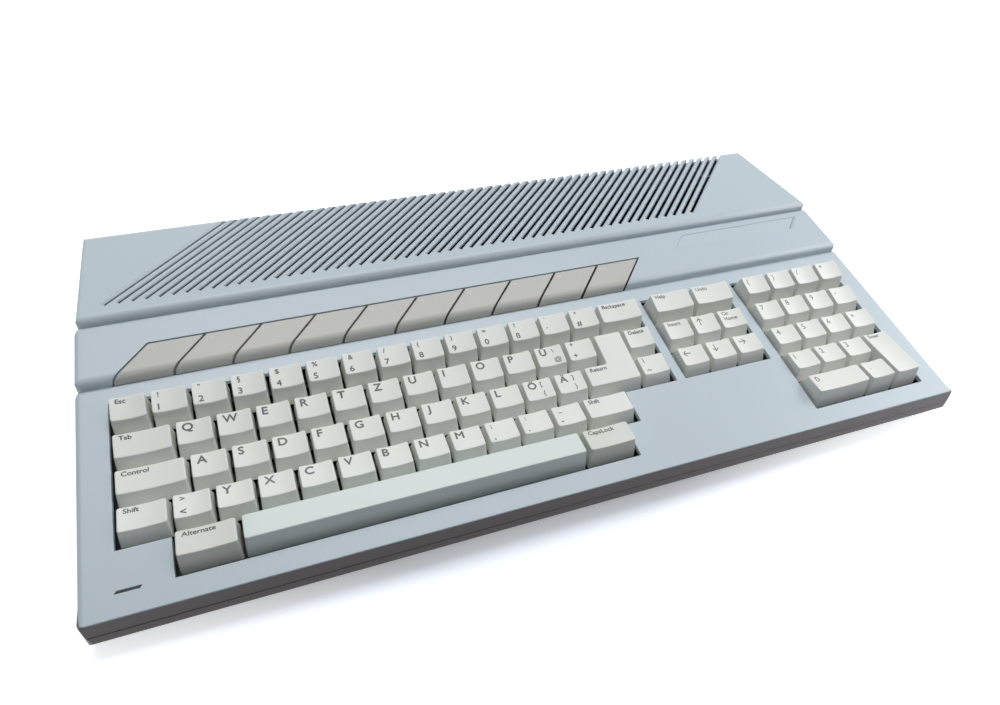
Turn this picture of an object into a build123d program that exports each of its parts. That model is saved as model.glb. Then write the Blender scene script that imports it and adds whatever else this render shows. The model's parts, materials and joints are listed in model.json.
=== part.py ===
from build123d import *
import os
from math import cos, radians, sin, sqrt

# A wedge-shaped home computer with its keyboard built in.
# Millimetres, +Z up, +Y to the rear, +X to the right hand of the typist.
# Origin: middle of the footprint, on the surface that the rubber feet stand on.

os.makedirs("parts", exist_ok=True)

# ---------------------------------------------------------------- driving dimensions
# Case
case_width = 470.0
case_depth = 234.0
case_height = 60.0
foot_height = 3.0
wall = 2.5
deck_tilt = 11.3          # slope of the key field
band_tilt = 10.3          # slope of the band that holds the function keys
front_lean = 2.6          # the deck's front edge stands back from the foremost point
front_edge_height = 20.7
parting_height = 20.0     # joint between the upper and the lower shell
lip_height = 5.0          # each step between two sections
nose_radius = 4.7         # rounding of each step
band_inset = 1.3          # the band is this much narrower on each side than the deck
rear_inset = 3.2
back_edge_radius = 5.0
side_edge_radius = 3.0
deck_corner_radius = 3.0  # plan corners at the front
hull_corner_radius = 5.0
rear_corner_radius = 6.0
notch_cut = 2.5           # plan corners where two sections meet

# Key field: "unit" is the pitch of the keys, both ways
unit = 18.7
key_margin = 16.45        # from the case's left side to the first column
front_to_keys = 105.07    # up the slope, from the front edge to the back of the first row
step_from_keys = 11.4     # up the slope, from the first row to the foot of the first step
band_length = 35.4        # level distance between the feet of the two steps
well_margin = 1.1
cursor_start = 15.91      # units
numpad_start = 19.38

# Keycaps
cap_gap = 1.3             # between the skirts of neighbours
skirt_bottom = -4.4       # below the deck
cap_side_inset = 1.65     # of the top from the cell's side
cap_back_inset = 1.9
cap_front_inset = 4.9
dish_depth = 0.9
space_crown = 0.35
cap_roof = 1.4
cap_wall = 1.4
stem_side = 5.6
stem_bottom = -9.2
# Height of the top above the deck at the back and at the front, from the first row down
row_heights = [(8.8, 6.8), (5.3, 3.8), (4.0, 3.4), (3.8, 4.5), (6.4, 8.0)]

# Function keys
function_count = 10
function_pitch = 28.9
function_start = 1.5      # left end of the row at the foot of the step
function_slant = 43.0
function_gap = 1.6
function_margin = 1.3     # round the whole row
function_back = 30.6      # up the slope, from the first key row
foot_gap = 0.35           # in front of the row

# Keyboard carrier, measured below the deck
frame_top, frame_thickness = -9.6, 3.6
mat_thickness = 1.2
board_thickness = 1.6
guide_hole = 6.4

# Louvre grille
slot_count = 54
slot_pitch = 6.85         # along X
slot_angle = 45.0
slot_width = 1.8
slot_mouth = 4.0          # at the surface
slot_bevel = 1.3
slot_depth = 5.0
slot_front = 46.3         # Y of the slots' front ends
slot_first = -218.4       # X of the first slot there

# Rear and side sockets
board_top = 17.2
din_height = 28.2         # centre of the round sockets
dsub_height = 26.5
panel_clearance = 0.5

# Cutting tools
cut_reach = 15.0          # each way from the deck, past everything a cell's outline cuts
overshoot = 1.0           # past both faces of a wall that is cut through

# ---------------------------------------------------------------- derived places
y_front = -case_depth / 2
y_back = case_depth / 2
tilt_cos, tilt_sin = cos(radians(deck_tilt)), sin(radians(deck_tilt))
edge_y = y_front + front_lean
key_left = -case_width / 2 + key_margin
key_y = edge_y + front_to_keys * tilt_cos
key_z = front_edge_height + front_to_keys * tilt_sin

# The deck's own frame: x across, y up the slope, z out of the deck.
deck = Plane(origin=(key_left, key_y, key_z), x_dir=(1, 0, 0), z_dir=(0, -tilt_sin, tilt_cos))


def on_deck(v, w=0.0):
    """Y and Z of a point v up the slope from the first key row and w above the deck."""
    return (key_y + v * tilt_cos - w * tilt_sin, key_z + v * tilt_sin + w * tilt_cos)


step_y, step_z = on_deck(step_from_keys)
rear_y = step_y + band_length
band_slope = sin(radians(band_tilt)) / cos(radians(band_tilt))
rear_step_z = case_height - lip_height
band_front_z = rear_step_z - band_length * band_slope

half_width = case_width / 2
half_band = half_width - band_inset
half_rear = half_width - rear_inset


def finish(builder, label):
    """Name a finished sub-part and write it."""
    builder.part.label = label
    export_step(builder.part, f"parts/{label}.step")


# ---------------------------------------------------------------- outer form of the case
def section_plan(front, back, half, front_cut, back_cut):
    """Plan of one stepped section. Each cut is an operation on its corners and a size."""
    with BuildSketch() as plan:
        with Locations((0, (front + back) / 2)):
            Rectangle(2 * half, back - front)
        for (cut, size), end in ((front_cut, 0), (back_cut, -1)):
            cut(plan.vertices().group_by(Axis.Y)[end], size)
    return plan.sketch


notch = (chamfer, notch_cut)
deck_plan = section_plan(edge_y, step_y, half_width, (fillet, deck_corner_radius), notch)
hull_plan = section_plan(y_front, step_y, half_width, (fillet, hull_corner_radius), notch)
band_plan = section_plan(step_y, rear_y, half_band, notch, notch)
rear_plan = section_plan(rear_y, y_back, half_rear, notch, (fillet, rear_corner_radius))


def section_solid(points, plan, half, front_top, tilt, roundings=()):
    """One stepped section: side profile, cut to its plan, with rounded side edges."""
    with BuildPart() as section:
        with BuildSketch(Plane.YZ) as side:
            Polygon(*points, align=None)
            for corner, radius in roundings:
                fillet(side.vertices().sort_by_distance((*corner, 0))[0], radius)
        extrude(amount=half + 1, both=True)
        with BuildSketch():
            add(plan)
        extrude(amount=case_height + 1, mode=Mode.INTERSECT)
        along = (0, cos(radians(tilt)), sin(radians(tilt)))
        with BuildSketch(Plane(origin=(0, *front_top), x_dir=(-1, 0, 0), z_dir=along)) as across:
            with Locations((0, -case_height)):
                Rectangle(2 * half, 2 * case_height)
            fillet(across.vertices().group_by(Axis.Y)[-1], side_edge_radius)
        extrude(amount=2 * case_depth, both=True, mode=Mode.INTERSECT)
    return section.part


deck_section = section_solid(
    [(edge_y, parting_height), (edge_y, front_edge_height), (step_y, step_z), (step_y, parting_height)],
    deck_plan, half_width, (edge_y, front_edge_height), deck_tilt,
)
band_section = section_solid(
    [(step_y, parting_height), (step_y, band_front_z), (rear_y, rear_step_z), (rear_y, parting_height)],
    band_plan, half_band, (step_y, band_front_z), band_tilt, [((step_y, band_front_z), nose_radius)],
)
# The louvres cross the back edge, so its rounding is turned in three flats.
back_edge = [
    (
        y_back - back_edge_radius * (1 - sin(radians(turn))),
        case_height - back_edge_radius * (1 - cos(radians(turn))),
    )
    for turn in (0, 30, 60, 90)
]
rear_section = section_solid(
    [(rear_y, parting_height), (rear_y, case_height), *back_edge, (y_back, parting_height)],
    rear_plan, half_rear, (rear_y, case_height), 0, [((rear_y, case_height), nose_radius)],
)

with BuildPart() as outer_form:
    add(deck_section)
    add(band_section)
    add(rear_section)

# Seven square posts stand along the walls and take the case screws.
post_side, boss_side = 7.2, 9.2
side_post_x = half_width - wall - post_side / 2
rear_post_y = y_back - wall - post_side / 2
side_posts = [(x, y) for x in (-side_post_x, side_post_x) for y in (-70, 8)]
rear_posts = [(x, rear_post_y) for x in (-190, 7, 202)]
post_places = side_posts + rear_posts
rear_post_top = 46.0

front_rim = 6.0           # the front of the upper shell is solid this far
inner_corner = 3.0
nose_wall = 3.5           # behind the rounding of each step
notch_wall = wall + notch_cut
half_notch = half_rear - notch_wall + 0.5
right_inside = [
    (half_width - wall, edge_y + wall), (half_width - wall, step_y - notch_wall),
    (half_notch, step_y - notch_wall), (half_notch, rear_y + notch_wall),
    (half_rear - wall, rear_y + notch_wall), (half_rear - wall, y_back - wall),
]
with BuildSketch() as inner_plan:
    Polygon(*right_inside, *[(-x, y) for x, y in reversed(right_inside)], align=None)
    chamfer(inner_plan.vertices().group_by(Axis.Y)[0], inner_corner)
    chamfer(inner_plan.vertices().group_by(Axis.Y)[-1], inner_corner)

with BuildPart() as cavity:
    inner = [
        (edge_y + front_rim, parting_height - 1),
        on_deck(-front_to_keys + front_rim, -wall),
        on_deck(step_from_keys + wall, -wall),
        (step_y + nose_wall, band_front_z - wall),
        (rear_y + nose_wall, rear_step_z - wall),
        (rear_y + nose_wall, case_height - wall),
        (y_back - slot_depth, case_height - wall),
        (y_back - wall, case_height - slot_depth),
        (y_back - wall, parting_height - 1),
    ]
    with BuildSketch(Plane.YZ):
        Polygon(*inner, align=None)
    extrude(amount=half_width, both=True)
    with BuildSketch():
        add(inner_plan.sketch)
    extrude(amount=case_height, mode=Mode.INTERSECT)
    with BuildSketch(Plane.XY.offset(parting_height)):
        with Locations(*side_posts):
            Rectangle(post_side, post_side)
    extrude(amount=case_height, mode=Mode.SUBTRACT)
    with BuildSketch(Plane.XY.offset(parting_height)):
        with Locations(*rear_posts):
            Rectangle(post_side, post_side)
    extrude(amount=rear_post_top - parting_height, mode=Mode.SUBTRACT)

# ---------------------------------------------------------------- key layout
# Each key: node, left side and width in units, first row, rows covered, stem columns.
keys = [
    ("escape_key", 0, 1, 0, 1),
    ("backspace_key", 14, 1.5, 0, 1),
    ("tab_key", 0, 1.5, 1, 1),
    ("delete_key", 14.5, 1, 1, 1),
    ("control_key", 0, 1.75, 2, 1),
    ("left_shift_key", 0, 1.25, 3, 1),
    ("right_shift_key", 12.25, 1.5, 3, 1),
    ("alternate_key", 1.25, 1.5, 4, 1),
    ("space_bar", 2.75, 9, 4, 1),
    ("caps_lock_key", 11.75, 1.5, 4, 1),
    ("help_key", cursor_start, 1.5, 0, 1),
    ("undo_key", cursor_start + 1.5, 1.5, 0, 1),
    ("numpad_zero_key", numpad_start, 2, 4, 1),
    ("numpad_enter_key", numpad_start + 3, 1, 3, 2),
]
keys += [("number_row_keys", 1 + i, 1, 0, 1) for i in range(13)]
keys += [("top_letter_keys", 1.5 + i, 1, 1, 1) for i in range(12)]
keys += [("home_letter_keys", 1.75 + i, 1, 2, 1) for i in range(11)] + [("home_letter_keys", 14.5, 1, 2, 1)]
keys += [("bottom_letter_keys", 1.25 + i, 1, 3, 1) for i in range(11)]
keys += [("cursor_keys", cursor_start + i, 1, row, 1) for row in (1, 2) for i in range(3)]
keys += [("numpad_keys", numpad_start + i, 1, row, 1) for row in (0, 1, 2) for i in range(4)]
keys += [("numpad_keys", numpad_start + i, 1, 3, 1) for i in range(3)]
keys += [("numpad_keys", numpad_start + 2, 1, 4, 1)]
return_left, return_step, return_right = 12.75, 13.5, 14.5
space_stems = (-3.2, 0, 3.2)

main_well = [
    (0, 0), (15.5, 0), (15.5, 3), (13.75, 3), (13.75, 4),
    (13.25, 4), (13.25, 5), (1.25, 5), (1.25, 4), (0, 4),
]
cursor_well = [(cursor_start, 0), (cursor_start + 3, 0), (cursor_start + 3, 3), (cursor_start, 3)]
numpad_well = [(numpad_start, 0), (numpad_start + 4, 0), (numpad_start + 4, 5), (numpad_start, 5)]

slant = sin(radians(function_slant)) / cos(radians(function_slant))


def slanted_cell(left, right, front, back):
    """Plan of a slanted cell on the deck, its front side at the foot of the first step."""
    lean = [slant * (v - step_from_keys) for v in (front, back)]
    near, far = [(x + lean[0], front) for x in (left, right)], [(x + lean[1], back) for x in (right, left)]
    return near + far


# ---------------------------------------------------------------- louvre slot
slant_run = (y_back - slot_front + 12) * sqrt(2)
with BuildPart() as louvre_slot:
    run = (sin(radians(slot_angle)), cos(radians(slot_angle)), 0)
    across_run = (-cos(radians(slot_angle)), sin(radians(slot_angle)), 0)
    with BuildSketch(Plane(origin=(0, 0, case_height), x_dir=across_run, z_dir=run)):
        half_slot, half_mouth = slot_width / 2, slot_mouth / 2
        slot_outline = [
            (-half_slot, -slot_depth), (half_slot, -slot_depth), (half_slot, -slot_bevel),
            (half_mouth, 0), (half_mouth, 1), (-half_mouth, 1), (-half_mouth, 0), (-half_slot, -slot_bevel),
        ]
        Polygon(*slot_outline, align=None)
    extrude(amount=slant_run)

# ---------------------------------------------------------------- upper shell
band_normal_z = cos(radians(band_tilt))
band = Plane(
    origin=(key_left, step_y, band_front_z), x_dir=(1, 0, 0),
    z_dir=(0, -sin(radians(band_tilt)), band_normal_z),
)
badge_depth, badge_gap, badge_recess = 0.8, 0.1, 0.15
badge_outline = [(337.6, 20.9), (428.9, 20.9), (439.2, 31.2), (347.9, 31.2)]
light_outline = [(-1.9, -95.0), (8.3, -95.0), (9.3, -93.75), (-0.9, -93.75)]

# Rear sockets: centre X, seen from behind they run from left to right in this order
reset_x, switch_x, power_x = 212.0, 190.0, 162.0
midi_x = [134.0, 108.0]
monitor_x, printer_x, modem_x, floppy_x, disk_x = 80.0, 38.0, -24.0, -70.0, -114.0
pivot_y, switch_z = 109.0, 31.0
rocker_width, rocker_height = 9.6, 13.4
housing_width, housing_height, housing_clearance = 12.6, 18.6, 0.2
reset_side, reset_z, reset_clearance = 5.6, 27.0, 0.4
din_opening = 7.2         # radius of the hole in the rear wall
dsub_shells = {printer_x: 39.0, modem_x: 39.0, disk_x: 31.0}
dsub_shell_height = 8.4
dsub_notch_top = dsub_height + dsub_shell_height / 2 + panel_clearance
controller_y = [58.0, 92.0]
controller_shell = 17.0
cartridge_y, cartridge_z = 74.5, 27.0
cartridge_width, cartridge_height = 64.0, 14.0

with BuildPart() as upper_case:
    add(outer_form.part)
    add(cavity.part, mode=Mode.SUBTRACT)
    # Wells for the keys, cut square to the deck
    for outline in (main_well, cursor_well, numpad_well):
        with BuildSketch(deck):
            Polygon(*[(x * unit, -y * unit) for x, y in outline], align=None)
            offset(amount=well_margin, kind=Kind.INTERSECTION, mode=Mode.REPLACE)
        extrude(amount=cut_reach, both=True, mode=Mode.SUBTRACT)
    row_end = function_start + function_count * function_pitch
    with BuildSketch(deck):
        Polygon(
            *slanted_cell(
                function_start + function_gap / 2 - function_margin,
                row_end - function_gap / 2 + function_margin,
                step_from_keys - foot_gap, function_back + function_margin - foot_gap,
            ),
            align=None,
        )
    extrude(amount=cut_reach, both=True, mode=Mode.SUBTRACT)
    with BuildSketch(deck):
        Polygon(*light_outline, align=None)
    extrude(amount=cut_reach, both=True, mode=Mode.SUBTRACT)
    with BuildSketch(band):
        Polygon(*badge_outline, align=None)
    extrude(amount=-badge_depth, mode=Mode.SUBTRACT)
    # Louvres
    with Locations(*[(slot_first + i * slot_pitch, slot_front, 0) for i in range(slot_count)]):
        add(louvre_slot.part, mode=Mode.SUBTRACT)
    # Openings in the rear wall. The multi-way ports sit in notches that start at the joint.
    with BuildSketch(Plane.XZ.offset(-y_back - overshoot)):
        with Locations(*[(x, din_height) for x in (power_x, *midi_x, monitor_x, floppy_x)]):
            Circle(din_opening)
        for x, shell in dsub_shells.items():
            with Locations((x, dsub_notch_top)):
                Rectangle(shell + 2 * panel_clearance, case_height, align=(Align.CENTER, Align.MAX))
        with Locations((switch_x, switch_z)):
            Rectangle(housing_width + 2 * housing_clearance, housing_height + 2 * housing_clearance)
        with Locations((reset_x, reset_z)):
            Rectangle(reset_side + 2 * reset_clearance, reset_side + 2 * reset_clearance)
    extrude(amount=wall + 2 * overshoot, mode=Mode.SUBTRACT)
    # Notches in the side walls
    with BuildSketch(Plane.YZ.offset(half_rear - wall - overshoot)):
        with Locations(*[(y, dsub_notch_top) for y in controller_y]):
            Rectangle(controller_shell + 2 * panel_clearance, case_height, align=(Align.CENTER, Align.MAX))
    extrude(amount=wall + 2 * overshoot, mode=Mode.SUBTRACT)
    with BuildSketch(Plane.YZ.offset(-half_rear - overshoot)):
        with Locations((cartridge_y, cartridge_z + cartridge_height / 2)):
            Rectangle(cartridge_width, case_height, align=(Align.CENTER, Align.MAX))
    extrude(amount=wall + 2 * overshoot, mode=Mode.SUBTRACT)
finish(upper_case, "upper_case")

# ---------------------------------------------------------------- lower shell
belly = 9.5               # height of the foremost line of the front wall
belly_radius, side_radius = 2.5, 4.5
floor_top = foot_height + wall
rim_height = 13.0         # the walls of the shell are thin above this
bottom_run = 6.0          # the underside starts this far behind the front
groove_height, groove_width, groove_depth = 13.6, 0.5, 0.3
vent_length, vent_width, vent_pitch, vent_count = 60.0, 3.0, 9.0, 7
vent_middles = [(-110, 35), (110, 35)]
standoff_side = 5.0
standoffs = [(-205, -22), (0, -22), (205, -22), (-205, 30), (70, 30), (205, 30), (-100, 104), (100, 104)]

with BuildPart() as lower_case:
    with BuildSketch(Plane.YZ) as hull_side:
        Polygon(
            (edge_y, parting_height), (y_front, belly), (y_front + bottom_run, foot_height),
            (y_back - bottom_run, foot_height), (y_back, belly - 2), (y_back, parting_height),
            align=None,
        )
        fillet(hull_side.vertices().filter_by(lambda p: p.Y < belly + 1), belly_radius)
    extrude(amount=half_width, both=True)
    with BuildSketch():
        add(hull_plan)
        add(band_plan)
        add(rear_plan)
    extrude(amount=case_height, mode=Mode.INTERSECT)
    with BuildSketch(Plane.XZ) as hull_front:
        with Locations((0, foot_height)):
            Rectangle(case_width, case_height, align=(Align.CENTER, Align.MIN))
        fillet(hull_front.vertices().group_by(Axis.Y)[0], side_radius)
    extrude(amount=case_depth, both=True, mode=Mode.INTERSECT)
    # Hollow inside, with a boss round each case screw and stand-offs for the main board
    with BuildSketch(Plane.XY.offset(floor_top)):
        Rectangle(2 * (half_rear - wall - 2), case_depth - 2 * bottom_run - 2)
        with Locations(*post_places):
            Rectangle(boss_side, boss_side, mode=Mode.SUBTRACT)
    extrude(amount=parting_height, mode=Mode.SUBTRACT)
    with BuildSketch(Plane.XY.offset(rim_height)):
        add(inner_plan.sketch)
        with Locations(*post_places):
            Rectangle(boss_side, boss_side, mode=Mode.SUBTRACT)
    extrude(amount=parting_height, mode=Mode.SUBTRACT)
    with BuildSketch(Plane.XY.offset(floor_top)):
        with Locations(*standoffs):
            Rectangle(standoff_side, standoff_side)
    extrude(amount=board_top - board_thickness - floor_top)
    # Shadow line along the middle of the front wall
    groove_y = y_front + front_lean * (groove_height - belly) / (parting_height - belly)
    with BuildSketch(Plane.YZ):
        with Locations((groove_y, groove_height)):
            Rectangle(2 * groove_depth, groove_width)
    extrude(amount=half_width, both=True, mode=Mode.SUBTRACT)
    # Vents in the floor, below the main board
    with BuildSketch(Plane.XY.offset(foot_height - overshoot)):
        with Locations(*vent_middles):
            with GridLocations(vent_pitch, 0, vent_count, 1):
                Rectangle(vent_width, vent_length)
    extrude(amount=wall + 2 * overshoot, mode=Mode.SUBTRACT)
finish(lower_case, "lower_case")

feet_places = [(-200, -92), (200, -92), (-200, 92), (200, 92)]
foot_length, foot_width, foot_corner = 22.0, 14.0, 3.0
with BuildPart() as rubber_feet:
    with BuildSketch() as foot_plan:
        with Locations(*feet_places):
            Rectangle(foot_length, foot_width)
        chamfer(foot_plan.vertices(), foot_corner)
    extrude(amount=foot_height)
finish(rubber_feet, "rubber_feet")


# ---------------------------------------------------------------- keycaps
def row_tops(first_row, rows=1):
    """Height of a cap's top at its back and at its front."""
    return row_heights[first_row][0], row_heights[first_row + rows - 1][1]


def cap_hollow(width, depth, tops):
    """The space under a cap's roof, narrower at the ceiling than at the rim."""
    rim, ceiling = cap_gap / 2 + cap_wall, min(tops) - dish_depth - cap_roof
    half_rim, half_ceiling = width / 2 - rim, width / 2 - cap_side_inset - cap_wall
    with BuildPart() as hollow:
        with BuildSketch(Plane.YZ):
            Polygon(
                (-rim, skirt_bottom), (-cap_back_inset - cap_wall, ceiling),
                (-depth + cap_front_inset + cap_wall, ceiling), (-depth + rim, skirt_bottom), align=None,
            )
        extrude(amount=width)
        with BuildSketch(Plane.XZ):
            with Locations((width / 2, 0)):
                Polygon(
                    (-half_rim, skirt_bottom), (half_rim, skirt_bottom),
                    (half_ceiling, ceiling), (-half_ceiling, ceiling), align=None,
                )
        extrude(amount=depth, mode=Mode.INTERSECT)
    return hollow.part


def cap_solid(width, rows, tops, crown=-dish_depth, stems=(0,)):
    """A hollow tapered keycap. x across from the cell's left side, y up the slope, z up."""
    depth = rows * unit
    back_z, front_z = tops
    back_y, front_y = -cap_back_inset, -depth + cap_front_inset
    half_base, half_top = width / 2 - cap_gap / 2, width / 2 - cap_side_inset
    taper = (half_base - half_top) / ((back_z + front_z) / 2 - skirt_bottom)
    with BuildPart() as cap:
        with BuildSketch(Plane.YZ):
            Polygon(
                (-cap_gap / 2, skirt_bottom), (back_y, back_z), (front_y, front_z),
                (-depth + cap_gap / 2, skirt_bottom), align=None,
            )
        extrude(amount=width)
        # Cross-section, run along the slope of the top so that the dish follows it
        slope_down = (0, front_y - back_y, front_z - back_z)
        low = skirt_bottom - max(tops) - 2
        half_low = half_top - taper * low
        with BuildSketch(Plane(origin=(width / 2, back_y, back_z), x_dir=(1, 0, 0), z_dir=slope_down)):
            with BuildLine():
                Polyline((half_top, 0), (half_low, low), (-half_low, low), (-half_top, 0))
                if crown:
                    ThreePointArc((-half_top, 0), (0, crown), (half_top, 0))
                else:
                    Line((-half_top, 0), (half_top, 0))
            make_face()
        extrude(amount=2 * depth, both=True, mode=Mode.INTERSECT)
        add(cap_hollow(width, depth, tops), mode=Mode.SUBTRACT)
        # Square stems
        stem_top = min(tops) - dish_depth - cap_roof / 2
        with Locations(*[(width / 2 + s * unit, -depth / 2, stem_top) for s in stems]):
            Box(stem_side, stem_side, stem_top - stem_bottom, align=(Align.CENTER, Align.CENTER, Align.MAX))
    return cap.part


# One solid for each shape of cap, put in every cell that has that shape.
shapes = {}
for node in dict.fromkeys(key[0] for key in keys):
    with BuildPart() as caps:
        for _, left, width, row, rows in [key for key in keys if key[0] == node]:
            if (width, row, rows) not in shapes:
                is_bar = width > 4
                shapes[width, row, rows] = cap_solid(
                    width * unit, rows, row_tops(row, rows),
                    space_crown if is_bar else -dish_depth, space_stems if is_bar else (0,),
                )
            with Locations(deck):
                with Locations((left * unit, -row * unit)):
                    add(shapes[width, row, rows])
    finish(caps, node)

# The return key is two rows tall at the right and reaches further left in its lower row.
tall_back, tall_front = row_tops(1, 2)
fall = (tall_back - tall_front) / (2 * unit - cap_back_inset - cap_front_inset)
with BuildPart() as return_key:
    with Locations(deck):
        with Locations((return_step * unit, -unit)):
            add(cap_solid((return_right - return_step) * unit, 2, (tall_back, tall_front), 0))
        with Locations((return_left * unit, -2 * unit)):
            wide = (return_right - return_left) * unit
            add(cap_solid(wide, 1, (tall_back - fall * unit, tall_front), 0))
finish(return_key, "return_key")

# ---------------------------------------------------------------- function keys
# One slanted key, cut out of the step's own form so that it lies flush in the band.
function_skirt = 5.0
function_wall = 1.4
function_roof = 1.7


def step_profile(inward):
    """Side profile of the step, moved inwards by a wall thickness."""
    foot_v = step_from_keys + inward
    nose = (step_y + inward, band_front_z - inward)
    end = (rear_y, rear_step_z - inward)
    rim = [on_deck(v, -function_skirt - inward) for v in (step_from_keys + band_length, foot_v)]
    return [on_deck(foot_v), nose, end, *rim]


with BuildPart() as function_hollow:
    side_wall = function_wall / cos(radians(function_slant))
    inner_left = function_start + function_gap / 2 + side_wall
    inner_right = inner_left + function_pitch - function_gap - 2 * side_wall
    with BuildSketch(deck):
        Polygon(
            *slanted_cell(
                inner_left, inner_right, step_from_keys + function_wall, function_back - function_wall,
            ),
            align=None,
        )
    extrude(amount=cut_reach, both=True)
    with BuildSketch(Plane.YZ) as hollow_side:
        Polygon(*step_profile(function_roof), align=None)
        inner_nose = (step_y + function_roof, band_front_z - function_roof, 0)
        chamfer(hollow_side.vertices().sort_by_distance(inner_nose)[0], function_roof)
    extrude(amount=half_width, both=True, mode=Mode.INTERSECT)

with BuildPart() as function_key:
    with BuildSketch(deck):
        Polygon(
            *slanted_cell(
                function_start + function_gap / 2, function_start + function_pitch - function_gap / 2,
                step_from_keys, function_back,
            ),
            align=None,
        )
    extrude(amount=cut_reach, both=True)
    with BuildSketch(Plane.YZ) as key_side:
        Polygon(*step_profile(0), align=None)
        fillet(key_side.vertices().sort_by_distance((step_y, band_front_z, 0))[0], nose_radius)
    extrude(amount=half_width, both=True, mode=Mode.INTERSECT)
    add(function_hollow.part, mode=Mode.SUBTRACT)
    middle_v = (step_from_keys + function_back) / 2
    middle_u = function_start + function_pitch / 2 + slant * (middle_v - step_from_keys)
    with Locations(deck):
        with Locations((middle_u, middle_v, stem_bottom)):
            stem_length = lip_height - function_roof / 2 - stem_bottom
            Box(stem_side, stem_side, stem_length, align=(Align.CENTER, Align.CENTER, Align.MIN))

for i in range(function_count):
    with BuildPart() as placed_key:
        with Locations((i * function_pitch, 0, 0)):
            add(function_key.part)
    finish(placed_key, f"function_key_{i + 1}")

# ---------------------------------------------------------------- keyboard carrier, mat and board
keyboard_left, keyboard_right = -3.0, (numpad_start + 4) * unit + 3.0
keyboard_front, keyboard_rear = -5 * unit - 3.5, 34.0
keyboard_middle = ((keyboard_left + keyboard_right) / 2, (keyboard_front + keyboard_rear) / 2)
keyboard_size = (keyboard_right - keyboard_left, keyboard_rear - keyboard_front)
mat_top = frame_top - frame_thickness
board_face = mat_top - mat_thickness

# Runs of stems share one guide slot: first and last stem in units, row
stem_runs = [(0.5, 14.75, 0), (0.75, 13, 1), (14, 14, 1.5), (15, 15, 1)]
stem_runs += [(0.875, 12.25, 2), (13.625, 13.625, 2), (15, 15, 2), (0.625, 13, 3)]
stem_runs += [(2, 2, 4), (12.5, 12.5, 4)] + [(7.25 + s, 7.25 + s, 4) for s in space_stems]
stem_runs += [(cursor_start + 0.75, cursor_start + 2.25, 0)]
stem_runs += [(cursor_start + 0.5, cursor_start + 2.5, row) for row in (1, 2)]
stem_runs += [(numpad_start + 0.5, numpad_start + 3.5, row) for row in (0, 1, 2)]
stem_runs += [(numpad_start + 0.5, numpad_start + 2.5, 3), (numpad_start + 3.5, numpad_start + 3.5, 3.5)]
stem_runs += [(numpad_start + 1, numpad_start + 2.5, 4)]
pillar_side = 4.8
pillar_places = [(0.5, 4.6), (14.6, 4.3), (17.4, 4.3), (2, -0.32), (12, -0.32), (21, -0.32)]

with BuildPart() as keyboard_frame:
    with BuildSketch(deck.offset(frame_top)):
        with Locations(keyboard_middle):
            Rectangle(*keyboard_size)
        for first, last, row in stem_runs:
            with Locations(((first + last) / 2 * unit, -(row + 0.5) * unit)):
                Rectangle((last - first) * unit + guide_hole, guide_hole, mode=Mode.SUBTRACT)
        with Locations((middle_u + (function_count - 1) / 2 * function_pitch, middle_v)):
            function_run = (function_count - 1) * function_pitch
            Rectangle(function_run + guide_hole, guide_hole, mode=Mode.SUBTRACT)
    extrude(amount=-frame_thickness)
    with BuildSketch(deck.offset(frame_top)):
        with Locations(*[(u * unit, -v * unit) for u, v in pillar_places]):
            Rectangle(pillar_side, pillar_side)
    extrude(amount=-frame_top - wall)
finish(keyboard_frame, "keyboard_frame")

with BuildPart() as dome_mat:
    with BuildSketch(deck.offset(mat_top)):
        with Locations(keyboard_middle):
            Rectangle(keyboard_size[0] - 2, keyboard_size[1] - 2)
    extrude(amount=-mat_thickness)
finish(dome_mat, "dome_mat")

with BuildPart() as keyboard_board:
    with BuildSketch(deck.offset(board_face)):
        with Locations(keyboard_middle):
            Rectangle(keyboard_size[0] - 1, keyboard_size[1] - 1)
    extrude(amount=-board_thickness)
finish(keyboard_board, "keyboard_board")

# ---------------------------------------------------------------- power light and badge
light_gap = 0.1
lens_rim, lens_rim_width = 0.8, 1.2
light_length, light_width = 5.0, 2.4
light_middle = (3.7, (light_outline[0][1] + light_outline[2][1]) / 2)
with BuildPart() as power_light_lens:
    with BuildSketch(deck):
        Polygon(*light_outline, align=None)
        offset(amount=-light_gap, mode=Mode.REPLACE)
    extrude(amount=-wall - lens_rim)
    with BuildSketch(deck.offset(-wall)):
        Polygon(*light_outline, align=None)
        offset(amount=lens_rim_width, kind=Kind.INTERSECTION, mode=Mode.REPLACE)
    extrude(amount=-lens_rim)
finish(power_light_lens, "power_light_lens")

with BuildPart() as power_light:
    with BuildSketch(deck.offset(frame_top)):
        with Locations(light_middle):
            Rectangle(light_length, light_width)
    extrude(amount=-frame_top - wall - lens_rim)
finish(power_light, "power_light")

with BuildPart() as badge_plate:
    with BuildSketch(band.offset(-badge_depth)):
        Polygon(*badge_outline, align=None)
        offset(amount=-badge_gap, kind=Kind.INTERSECTION, mode=Mode.REPLACE)
    extrude(amount=badge_depth - badge_recess)
finish(badge_plate, "badge_plate")

# ---------------------------------------------------------------- main board, chips, shield, ribbon
board_front, board_rear, board_half = -30.0, 111.0, 221.0

with BuildPart() as main_board:
    with BuildSketch(Plane.XY.offset(board_top)):
        with Locations((0, (board_front + board_rear) / 2)):
            Rectangle(2 * board_half, board_rear - board_front)
        with Locations(*rear_posts):
            Rectangle(boss_side + 2, boss_side + 2, mode=Mode.SUBTRACT)
    extrude(amount=-board_thickness)
finish(main_board, "main_board")

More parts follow.
